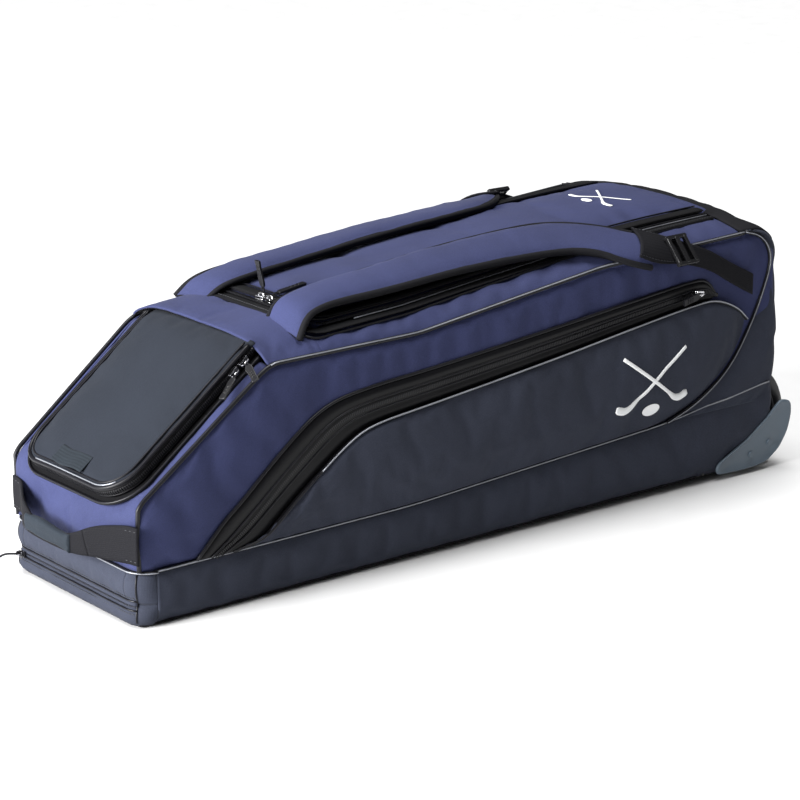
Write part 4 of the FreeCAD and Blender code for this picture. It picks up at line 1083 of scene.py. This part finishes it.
# Across a strap: x, then y and z of its inner edge, its middle and its outer edge, and how far it leans.
PAD_STATIONS = [
    (-0.237, 0.055, 0.288, 0.088, 0.286, 0.119, 0.280, 0),
    (-0.224, 0.049, 0.301, 0.080, 0.303, 0.112, 0.296, 0),
    (-0.207, 0.044, 0.308, 0.074, 0.312, 0.106, 0.305, 0),
    (-0.170, 0.041, 0.314, 0.072, 0.319, 0.104, 0.310, 0),
    (-0.105, 0.043, 0.320, 0.076, 0.322, 0.110, 0.313, 0),
    (0.010, 0.042, 0.331, 0.078, 0.332, 0.115, 0.321, 0),
    (0.140, 0.046, 0.337, 0.088, 0.333, 0.123, 0.321, 0),
    (0.183, 0.056, 0.336, 0.108, 0.329, 0.143, 0.318, 0.004),
    (0.214, 0.084, 0.333, 0.136, 0.322, 0.163, 0.304, 0.010),
    (0.238, 0.113, 0.326, 0.152, 0.316, 0.170, 0.296, 0.014),
    (0.254, 0.133, 0.321, 0.157, 0.313, 0.172, 0.291, 0.014)]
WEB_STATIONS = [
    (0.240, 0.119, 0.328, 0.151, 0.3205, 0.166, 0.307, 0.015),
    (0.262, 0.141, 0.322, 0.160, 0.315, 0.173, 0.295, 0.011),
    (0.290, 0.157, 0.314, 0.1665, 0.303, 0.175, 0.291, 0.004),
    (0.333, 0.168, 0.300, 0.1715, 0.288, 0.175, 0.276, 0),
    (0.372, 0.1705, 0.277, 0.1715, 0.2645, 0.172, 0.252, 0),
    (0.411, 0.171, 0.257, 0.171, 0.244, 0.171, 0.231, 0)]
PAD_ROWS, PAD_RING = 110, 30
PAD_SQUARE, PAD_ROUND = 0.35, 0.6
WEB_ROWS, WEB_STEPS = 60, 8


def strap_rows(stations, count, side):
    """Evenly spaced rows across a strap: its inner edge, middle and outer edge."""
    rails = []
    for k, ahead in ((1, 1), (3, 0), (5, -1)):
        rail = [(s[0] + ahead * s[7], side * s[k], s[k + 1]) for s in stations]
        rails.append(smooth_line(rail, count, 2))
    return list(zip(*rails))


def strap_sections(rows):
    """Each row across a strap, with the direction along it and its run from the start."""
    middle = [row[1] for row in rows]
    run = 0.0
    for index, row in enumerate(rows):
        if index:
            run += (middle[index] - middle[index - 1]).length
        yield row, direction_at(middle, index), run


def upward(normal, side):
    """The same direction, turned away from the bag."""
    return normal if normal.z + 0.5 * side * normal.y > 0 else -normal


def across_row(row, t, tangent, side):
    """A point across a strap, t from -1 to 1, the direction there and the direction off the bag."""
    a, m, b = row
    c = m * 2 - (a + b) / 2
    w = (t + 1) / 2
    point = a * (1 - w) ** 2 + c * 2 * w * (1 - w) + b * w ** 2
    across = ((c - a) * (1 - w) + (b - c) * w).normalized()
    return point, across, upward(across.cross(tangent).normalized(), side)


def strap_pad(label, side):
    """Padded strap: blue face, black binding round the edge, black underside."""
    rows = strap_rows(PAD_STATIONS, PAD_ROWS, side)
    verts, uvs, marks = [], [], []
    rails = {-1: [], 1: []}
    for index, (row, tangent, run) in enumerate(strap_sections(rows)):
        share = index / (PAD_ROWS - 1)
        thick = lerp(0.004, 0.011, min(share / 0.18, 1.0)) * lerp(1.0, 0.6, max(share - 0.9, 0) / 0.1)
        for k in range(PAD_RING):
            angle = 2 * math.pi * k / PAD_RING
            a = rounded_power(math.cos(angle), PAD_SQUARE)
            b = rounded_power(math.sin(angle), PAD_ROUND)
            point, _, normal = across_row(row, a, tangent, side)
            groove = 0.0012 * math.exp(-((abs(a) - 0.84) / 0.04) ** 2)
            puff = 0.0022 * (1 - a * a) + crumple(point, 0.0012, 26.0)
            verts.append(point + normal * (thick / 2 * (b - 1) + (puff - groove) * (b > 0)))
            uvs.append((run, a * 0.035))
        for sign in (-1, 1):
            point, across, normal = across_row(row, sign, tangent, side)
            rails[sign].append(point - across * sign * 0.0022 - normal * thick * 0.32)
    for i in range(PAD_ROWS - 1):
        for k in range(PAD_RING):
            angle = 2 * math.pi * (k + 0.5) / PAD_RING
            face_side = math.sin(angle) > 0 and abs(math.cos(angle)) ** PAD_SQUARE < 0.88
            marks.append(0 if face_side else 1)
    marks += [1, 1]
    pad = fix_normals(piece(f"strap_pad_{label}_cloth", verts, skin(PAD_ROWS, PAD_RING), [BLUE, BLACK], None,
                            "strap_cloth", uvs, marks))
    start, end = tuple(rows[8][1]), tuple(rows[26][1])
    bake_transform(pad)
    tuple(start)
    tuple(end)
    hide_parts(f"strap_pad_{label}")
    for name, sign, radius in (("inner", -1, 0.0030), ("outer", 1, 0.0038)):
        binding = tube(f"strap_binding_{name}_{label}", rails[sign], radius, BLACK, None, "strap_cloth", 10)
        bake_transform(binding)
        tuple(start)
        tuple(end)


def strap_web(label, side):
    """Webbing from the strap's end to the side wall; its front end is the sewn patch."""
    rows = strap_rows(WEB_STATIONS, WEB_ROWS, side)
    verts, uvs = [], []
    for row, tangent, run in strap_sections(rows):
        for low in (0, 1):
            for k in range(WEB_STEPS + 1):
                t = lerp(-1, 1, (WEB_STEPS - k if low else k) / WEB_STEPS)
                point, _, normal = across_row(row, t, tangent, side)
                verts.append(point + normal * (0.0014 - 0.0022 * low))
                uvs.append((run, t * 0.0125))
    faces = skin(WEB_ROWS, 2 * (WEB_STEPS + 1))
    web = fix_normals(piece(f"strap_webbing_{label}_cloth", verts, faces, [WEBBING], None, uvs=uvs))
    tuple(rows[34][1])
    tuple(rows[-1][1])
    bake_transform(web)
    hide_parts(f"strap_webbing_{label}")
    for name, t in (("inner", -0.88), ("outer", 0.88)):
        line = []
        for row, after in zip(rows[:24], rows[1:]):
            point, _, normal = across_row(row, t, (after[1] - row[1]).normalized(), side)
            line.append(point + normal * 0.0016)
        outs = [upward((b - a).cross(Z).cross(b - a).normalized(), side) for a, b in zip(line, line[1:])]
        beads(f"strap_stitch_{name}_{label}", line, outs + outs[-1:], 0.0040, (0.0028, 0.0008, 0.0005),
              THREAD, f"strap_{label}", "webbing_black")


def tri_glide(label, side):
    """Moulded three-bar slide on the webbing."""
    centre = node_middle(f"tri_glide_{label}")
    tilt = math.radians(49)
    across = Vector((0, side * math.cos(tilt), -math.sin(tilt)))
    along = Vector((1, side * 0.19, -0.26))
    along = (along - across * along.dot(across)).normalized()
    normal = upward(across.cross(along).normalized(), side)

    def put(a, b, c):
        return centre + along * a + across * b + normal * (c - 0.0012)
    bars = [(a0, a1, -0.0175, 0.0175, 0.0012, 2, 0.0054)
            for a0, a1 in ((-0.0160, -0.0112), (-0.0032, 0.0032), (0.0112, 0.0160))]
    bars += [(-0.0172, 0.0172, b0, b1, 0.0036, 4, 0.0048)
             for b0, b1 in ((-0.0200, -0.0152), (0.0152, 0.0200))]
    for index, (a0, a1, b0, b1, radius, steps, tall) in enumerate(bars):
        outline = rounded([(a0, b0), (a1, b0), (a1, b1), (a0, b1)], radius, steps)
        prism(f"tri_glide_{label}_bar_{index}", outline, put, tall, GLOSS, f"glide_{label}", bevel=0.0013,
              segments=3)


for label, side in SIDES:
    strap_pad(label, side)
    strap_web(label, side)
    tri_glide(label, side)

# ---------------------------------------------------------------- nose handle

HANDLE_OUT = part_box("nose_handle")[0][0] + 0.0022
# Along the handle's webbing: y, x, and the height of its lower and its upper edge.
HANDLE_STATIONS = [(-0.131, NOSE - 0.0046, 0.076, 0.118), (-0.118, NOSE - 0.0068, 0.076, 0.118),
                   (-0.098, NOSE - 0.0110, 0.074, 0.114), (-0.070, HANDLE_OUT + 0.0110, 0.072, 0.107),
                   (-0.044, HANDLE_OUT + 0.0015, 0.070, 0.094), (-0.018, HANDLE_OUT, 0.069, 0.086),
                   (0.022, HANDLE_OUT, 0.069, 0.086), (0.044, HANDLE_OUT, 0.070, 0.092),
                   (0.060, HANDLE_OUT + 0.0020, 0.072, 0.102), (0.075, HANDLE_OUT + 0.0100, 0.074, 0.109),
                   (0.090, NOSE - 0.0090, 0.076, 0.113), (0.100, NOSE - 0.0072, 0.076, 0.114),
                   (0.112, NOSE - 0.0056, 0.076, 0.114)]
HANDLE_POINTS = 81
GRIP_ROWS, GRIP_RING = 44, 28


def handle_strip():
    """The handle's webbing in three parts: two feet and the part that swings."""
    stations = [Vector((x, y, low, high)) for y, x, low, high in HANDLE_STATIONS]
    rail = smooth_line(stations, HANDLE_POINTS, 2)
    line = [Vector((p[0], p[1], (p[2] + p[3]) / 2)) for p in rail]
    widths = [p[3] - p[2] for p in rail]
    outs = []
    for index in range(HANDLE_POINTS):
        out = direction_at(line, index).cross(Z).normalized()
        outs.append(out if out.x < 0 else -out)
    strips = {}
    for name, first, last in (("right", 0, 25), ("middle", 24, 57), ("left", 56, HANDLE_POINTS)):
        strips[name] = band(f"nose_handle_{name}", line[first:last], outs[first:last], widths[first:last],
                            0.0026, WEBBING, "handle" if name == "middle" else None, lift=0.0012, steps=8,
                            crown_by=0.0006)
    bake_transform(strips["right"], "root", "handle", start=tuple(line[6]), end=tuple(line[22]))
    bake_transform(strips["left"], "handle", "root", start=tuple(line[59]), end=tuple(line[74]))
    for name, first, last in (("right", 1, 6), ("left", HANDLE_POINTS - 6, HANDLE_POINTS - 1)):
        for index, share in enumerate((-0.40, 0.40)):
            stitch = [line[k] + Vector((0, 0, widths[k] * share)) for k in range(first, last)]
            beads(f"handle_stitch_{name}_{index}", stitch, outs[first:last], 0.0036,
                  (0.0026, 0.0008, 0.0005), THREAD, slot="webbing_black", lift=0.0016)


def handle_grip():
    """A folded cloth sleeve round the middle of the handle."""
    verts, uvs = [], []
    for index in range(GRIP_ROWS):
        y = lerp(-0.036, 0.050, index / (GRIP_ROWS - 1))
        end_share = abs(2 * index / (GRIP_ROWS - 1) - 1)
        tall = 0.0106 - 0.0012 * (1 - end_share ** 2) + 0.0010 * math.sin(y * 90)
        deep = 0.0056 - 0.0012 * end_share ** 4
        middle = Vector((HANDLE_OUT + 0.0002, y, 0.0812 + 0.0012 * math.sin(y * 40)))
        for k in range(GRIP_RING):
            angle = 2 * math.pi * k / GRIP_RING
            a = rounded_power(math.cos(angle), 0.7) * deep
            b = rounded_power(math.sin(angle), 0.6) * tall
            fold = 0.0014 * math.exp(-((b + 0.0045) / 0.0012) ** 2) * (a < 0)
            point = middle + Vector((a + fold, 0, b))
            verts.append(point + Vector((crumple(point, 0.0006, 60.0), 0, crumple(point, 0.0005, 45.0))))
            uvs.append((y, b))
    grip = fix_normals(piece("handle_grip_cloth", verts, skin(GRIP_ROWS, GRIP_RING), [GRIP], "handle",
                             uvs=uvs))


handle_strip()
handle_grip()

# ---------------------------------------------------------------- floor panel and divider

FLOOR_END = 0.345


def floor_cloth(u, v):
    x = lerp(NOSE + 0.004, FLOOR_END, u)
    return (x, lerp(-1, 1, v) * (half(x) - 0.004), underside(x) + 0.0006)


def floor_tail(u, v):
    x = lerp(FLOOR_END, END - 0.003, u)
    return (x, lerp(-1, 1, v) * TUB_HALF, underside(x) + 0.0006)


def divider(u, v):
    x = lerp(NOSE + 0.004, FLOOR_END, u)
    return (x, lerp(-1, 1, v) * (half(x) - 0.005), 0.064)


patch("base_floor_cloth", floor_cloth, (0.8, 0.3), -Z, BLACK, thick=0.0024, wrinkle=0.0, step=0.012)
patch("base_floor_tail_cloth", floor_tail, (0.11, 0.25), -Z, BLACK, thick=0.0024, wrinkle=0.0, step=0.012)
patch("divider_cloth", divider, (0.8, 0.3), Z, LINING, wrinkle=0.0008, step=0.015)

# ---------------------------------------------------------------- wheels and guards

GUARD_OUTLINE = [(0.366, 0.0075), (0.400, 0.0060), (0.430, 0.0065), (0.450, 0.010), (0.470, 0.024),
                 (0.483, 0.044), (0.4885, 0.066), (0.487, 0.082), (0.470, 0.086), (0.450, 0.068),
                 (0.413, 0.043), (0.366, 0.0205)]
# From the guard's rim inwards: the share of its outline, and how far it stands out.
GUARD_RINGS = [(1.0, 0.0), (1.0, 0.0022), (0.985, 0.0034), (0.93, 0.0036), (0.90, 0.0028), (0.5, 0.0030),
               (0.05, 0.0031)]
HUB_HALF = [(0.047, 0.011), (0.046, 0.004), (0.020, 0.004), (0.017, 0.0125), (0.011, 0.0125)]


def wheel(label, side):
    """Cast tyre with a ribbed tread on a spoked hub."""
    centre = Vector((WHEEL.x, side * abs(WHEEL.y), WHEEL.z))
    wide, inner = 0.013, 0.052
    shoulder = [(WHEEL_RADIUS - 0.002, wide - 0.0015), (WHEEL_RADIUS - 0.006, wide), (inner, wide - 0.001)]
    tread = [(WHEEL_RADIUS - (0.0007 if k % 2 else 0.0), lerp(-wide + 0.004, wide - 0.004, k / 8))
             for k in range(9)]
    outline = [(radius, -y) for radius, y in reversed(shoulder)] + tread + shoulder
    tyre = revolve(f"tyre_{label}_cast", outline, centre, TYRE, f"wheel_{label}")
    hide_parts(f"tyre_{label}")
    outline = [(inner, -0.011), (inner, 0.011)] + HUB_HALF
    outline += [(radius, -y) for radius, y in reversed(HUB_HALF)]
    hub = revolve(f"hub_{label}_cast", outline, centre, HARD, f"wheel_{label}")
    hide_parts(f"hub_{label}")
    outline = rounded([(0.016, -0.004), (0.047, -0.0028), (0.047, 0.0028), (0.016, 0.004)], 0.001, 2)
    for index in range(6):
        angle = math.pi / 3 * index
        radial = Vector((math.cos(angle), 0, math.sin(angle)))
        cross = Vector((-math.sin(angle), 0, math.cos(angle)))
        prism(f"hub_rib_{label}_{index}", outline,
              lambda a, b, c: centre + radial * a + cross * b + Vector((0, c - 0.009, 0)), 0.018, HARD,
              f"wheel_{label}", bevel=0.0006)


def guard(label, side):
    """Moulded corner guard with a raised border."""
    outline = smooth_line(rounded(GUARD_OUTLINE, 0.006, 3), 90, 1)
    centre = Vector((0.435, 0.040))
    verts = []
    for shrink, lift in GUARD_RINGS:
        for corner in outline:
            p = centre + (corner - centre) * shrink
            verts.append(on_side(p.x, p.y, 0.0012 + lift, side))
    shell = fix_normals(piece(f"wheel_guard_{label}_shell", verts, skin(len(GUARD_RINGS), len(outline)),
                              [GUARD]))
    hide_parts(f"wheel_guard_{label}")


for label, side in SIDES:
    wheel(label, side)
    guard(label, side)

# ---------------------------------------------------------------- the cloth settles

settle_cloth()
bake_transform(lid)
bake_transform(flap)

# ---------------------------------------------------------------- sliders and pulls


def slider_shape(name, centre, along, across, normal, size, body, material):
    """A zipper slider: waisted body with a bridge over it."""
    length, width, high = size
    outline = rounded([(-length / 2, -width * 0.30), (0, -width * 0.42), (length / 2, -width / 2),
                       (length / 2, width / 2), (0, width * 0.42), (-length / 2, width * 0.30)], 0.0015)
    for index, low in enumerate((0.0, high * 0.55)):
        prism(f"{name}_plate_{index}", outline,
              lambda a, b, c: centre + along * a + across * b + normal * (c + low - high / 2), high * 0.28,
              material, body, bevel=0.0005)
    arch = [centre + along * (length * 0.40 * math.cos(t)) + normal * (high * (0.30 + 0.55 * math.sin(t)))
            for t in np.linspace(0, math.pi, 12)]
    tube(f"{name}_bridge", arch, 0.0010, material, body)


def pull_shape(name, root, along, across, normal, length, body, material):
    """A moulded pull on a small cord loop: ribbed, waisted and rounded."""
    slot = "pull_black"
    for letter, sign in (("a", -1), ("b", 1)):
        cord = [root + along * (length * t) + across * (sign * 0.0016 * math.sin(math.pi * min(t / 0.24, 1)))
                + normal * (0.001 * math.sin(math.pi * t)) for t in np.linspace(0, 0.24, 8)]
        tube(f"{name}_cord_{letter}", cord, 0.0009, BLACK, body, slot)
    half_outline = [(length * 0.16, -0.0030), (length * 0.28, -0.0044), (length * 0.8, -0.0036),
                    (length, -0.0044)]
    outline = rounded(half_outline + [(a, -b) for a, b in reversed(half_outline)], 0.002)
    prism(f"{name}_grip", outline,
          lambda a, b, c: root + along * a + across * b + normal * (c - 0.0012), 0.0030, material, body,
          slot, segments=3)
    for index in range(3):
        spot = root + along * (length * (0.55 + 0.12 * index)) + normal * 0.0020
        tube(f"{name}_rib_{index}", [spot - across * 0.0026, spot, spot + across * 0.0026], 0.0005,
             material, body, slot, 6)


for letter, along, length in (("a", Vector((-0.04, 0.28, 1)), 0.036), ("b", Vector((1, 0.12, 0.07)), 0.050)):
    centre = node_middle(f"lid_slider_{letter}")
    centre.x = -0.2060
    centre.z = top_z(centre.x, centre.y) + 0.0058
    slider_shape(f"lid_slider_{letter}_body", centre, Y if letter == "a" else -Y, X, Z,
                 (0.0125, 0.010, 0.0054), f"lid_slider_{letter}", BRIGHT)
    along.normalize()
    pull_shape(f"lid_pull_{letter}_shape", Vector((-0.2022, centre.y, 0.3050)), along, Y, along.cross(Y),
               length, f"lid_pull_{letter}", PIPING)

for letter, run, along, length in (("a", 0.2005, -SLOPE_DIR * 0.15 - Y * 0.85 - Z * 0.5, 0.026),
                                   ("b", 0.184, -SLOPE_DIR * 0.95 - Y * 0.30, 0.036)):
    body = f"flap_slider_{letter}"
    centre = on_slope(run, -FLAP_NEAR - 0.0046, 0.0105)
    slider_shape(f"{body}_body", centre, SLOPE_DIR, SLOPE_NORMAL, -Y, (0.013, 0.009, 0.0055), body,
                 DARK_METAL)
    tube(f"{body}_rivet", [centre - Y * 0.0034, centre - Y * 0.0050], 0.0022, BRIGHT, body, sides=12)
    along.normalize()
    sideways = SLOPE_NORMAL.cross(along).normalized()
    pull_shape(f"flap_pull_{letter}_shape", centre - Y * 0.0045, along, sideways, along.cross(sideways),
               length, body, GLOSS)

for label, side in SIDES:
    body = f"side_slider_{label}"
    centre = on_side(0.320, 0.2475, 0.0122, side)
    slider_shape(f"{body}_body", centre, -X, Z, Y * side, (0.012, 0.009, 0.005), body, BRIGHT)
    pull_shape(f"side_pull_{label}_shape", centre + Y * side * 0.003, (-X * 0.98 - Z * 0.2).normalized(), Z,
               Y * side, 0.030, body, PIPING)

centre = Vector((NOSE - 0.0065, 0.104, SILL - 0.003))
slider_shape("base_slider_body", centre, -Y, Z, -X, (0.012, 0.008, 0.005), "base_slider", DARK_METAL)
loop = [centre + Vector(step) for step in ((-0.003, 0.002, 0), (-0.010, 0.012, -0.001),
                                           (-0.012, 0.022, -0.006), (-0.009, 0.034, -0.014))]
tube("base_pull_cord", smooth_line(loop, 24), 0.0013, BLACK, "base_slider", "pull_black")

# ---------------------------------------------------------------- printed emblem: crossed sticks and a puck

STICK = [(-0.62, 0.50), (0.0, 0.05), (0.36, -0.22), (0.46, -0.30), (0.60, -0.33), (0.76, -0.27)]
STICK_POINTS, BLADE_FROM = 40, 27


def emblem(name, meet, normal, scale, body, slot):
    """Two crossed hockey sticks over a puck, printed flat on the cloth."""
    normal = Vector(normal)

    def place(a, b, c=0.0):
        return meet(a * scale, b * scale) + normal * (0.0003 - c)
    for index, sign in enumerate((-1, 1)):
        line = smooth_line([(a * sign, b) for a, b in STICK], STICK_POINTS, 2)
        widths = [0.055 * scale * lerp(1.0, 2.3, min(max(k - BLADE_FROM, 0) / 8, 1.0))
                  for k in range(STICK_POINTS)]
        widths[-1] *= 0.6
        band(f"{name}_stick_{index}", [place(p.x, p.y) for p in line], normal, widths, 0.0004, PRINT, body,
             slot, lift=0.0006 + 0.0002 * index, steps=2)
    puck = [(0.17 * math.cos(t), -0.42 + 0.10 * math.sin(t)) for t in np.linspace(0, 2 * math.pi, 25)[:-1]]
    prism(f"{name}_puck", puck, lambda a, b, c: place(a, b, c - 0.0008), 0.0005, PRINT, body, slot, bevel=0)


def landing(obj):
    """Finds where a line through the scene first meets a settled panel."""
    tree = BVHTree.FromObject(obj, bpy.context.evaluated_depsgraph_get())

    def meet(start, direction):
        return tree.ray_cast(Vector(start), Vector(direction))[0]
    return meet


for label, side in SIDES:
    meet_pocket = landing(bpy.data.objects[f"side_pocket_{label}_cloth"])
    emblem(f"side_emblem_{label}",
           lambda a, b: meet_pocket((0.245 + a, side * 0.3, 0.150 + b), (0, -side, 0)),
           (0, side, 0), 0.078, "root", "shell_charcoal")
meet_lid = landing(lid)
emblem("lid_emblem", lambda a, b: meet_lid((0.315 + b, -a, 0.5), (0, 0, -1)), Z, 0.050, "lid",
       "shell_blue")

# ---------------------------------------------------------------- what stands for what, and kept CAD pieces

SEWN = ["end_cap_top", "collar_panel", "pocket_lining", "nose_panel", "base_nose_sill", "base_nose_flap",
        "base_floor", "lid_panel", "flap_panel", "flap_rim", "flap_label", "handle_grip"]
SEWN += [f"{part}_{label}" for label, _ in SIDES
         for part in ("side_panel", "base_gusset", "side_zip_band", "side_pocket", "top_rim")]
SLIDERS = ["base_slider", "lid_slider_a", "lid_slider_b", "flap_slider_a", "flap_slider_b",
           "side_slider_right", "side_slider_left"]
STAND_INS = {"end_wall_upper_cloth": "end_cap", "slope_panel_low_cloth": "slope_panel",
             "divider_cloth": "divider_panel", "lid_zip_coil": "lid_zip_track",
             "flap_base_tape": "flap_zip_track", "nose_handle_middle": "nose_handle",
             "tri_glide_right_bar_0": "tri_glide_right", "tri_glide_left_bar_0": "tri_glide_left",
             "lid_pull_a_shape_grip": "lid_pull_a", "lid_pull_b_shape_grip": "lid_pull_b"}
STAND_INS.update({f"{node}_cloth": node for node in SEWN})
STAND_INS.update({f"{node}_body_plate_0": node for node in SLIDERS})
for name, node in STAND_INS.items():
    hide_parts(node)

KEPT = {"base_board": HARD, "wheel_bulkhead": HARD, "skid_rails": HARD, "wheel_tub_right": HARD,
        "wheel_tub_left": HARD, "bearings_right": STEEL, "bearings_left": STEEL, "axles": STEEL,
        "axle_plates": STEEL, "guard_screws": GUARD}
for node, material in KEPT.items():
    for material_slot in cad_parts[node].material_slots:
        material_slot.material = material

# ---------------------------------------------------------------- floor, light and camera

bpy.ops.mesh.primitive_plane_add(size=90, location=(0, 0, -0.0005))
floor = bpy.context.object
floor.name = "studio_floor"
floor.data.materials.append(PALE)

scene = bpy.context.scene
world = scene.world or bpy.data.worlds.new("studio")
scene.world = world
world.use_nodes = True
world.node_tree.nodes["Background"].inputs["Color"].default_value = (1, 1, 1, 1)
world.node_tree.nodes["Background"].inputs["Strength"].default_value = 0.09


def light(name, kind, place, target, size, power):
    """A soft square lamp, or an even light from far away that is size radians wide."""
    lamp = bpy.data.lights.new(name, kind)
    if kind == "SUN":
        lamp.angle = size
    else:
        lamp.size = size
    lamp.energy = power
    obj = bpy.data.objects.new(name, lamp)
    obj.location = place
    obj.rotation_euler = (Vector(target) - Vector(place)).to_track_quat("-Z", "Y").to_euler()
    scene.collection.objects.link(obj)


light("overhead", "SUN", (0, 0.2, 2.8), (0, 0, 0), 0.8, 4.5)
light("left_front", "AREA", (-2.7, 0.2, 0.8), (-0.1, 0, 0.15), 1.4, 225)

AZIMUTH = math.radians(-39.24)
ELEVATION = math.radians(17.14)
TARGET = Vector((0, 0, 0.15))
DISTANCE = 3.303
back = Vector((math.sin(AZIMUTH) * math.cos(ELEVATION), -math.cos(AZIMUTH) * math.cos(ELEVATION),
               math.sin(ELEVATION)))
camera_data = bpy.data.cameras.new("camera")
camera_data.lens = 126.25
camera_data.shift_y = -0.0136
camera = bpy.data.objects.new("camera", camera_data)
scene.collection.objects.link(camera)
camera.location = TARGET + back * DISTANCE
camera.rotation_euler = (-back).to_track_quat("-Z", "Y").to_euler()
bpy.context.scene.camera = camera
scene.view_settings.view_transform = "Standard"
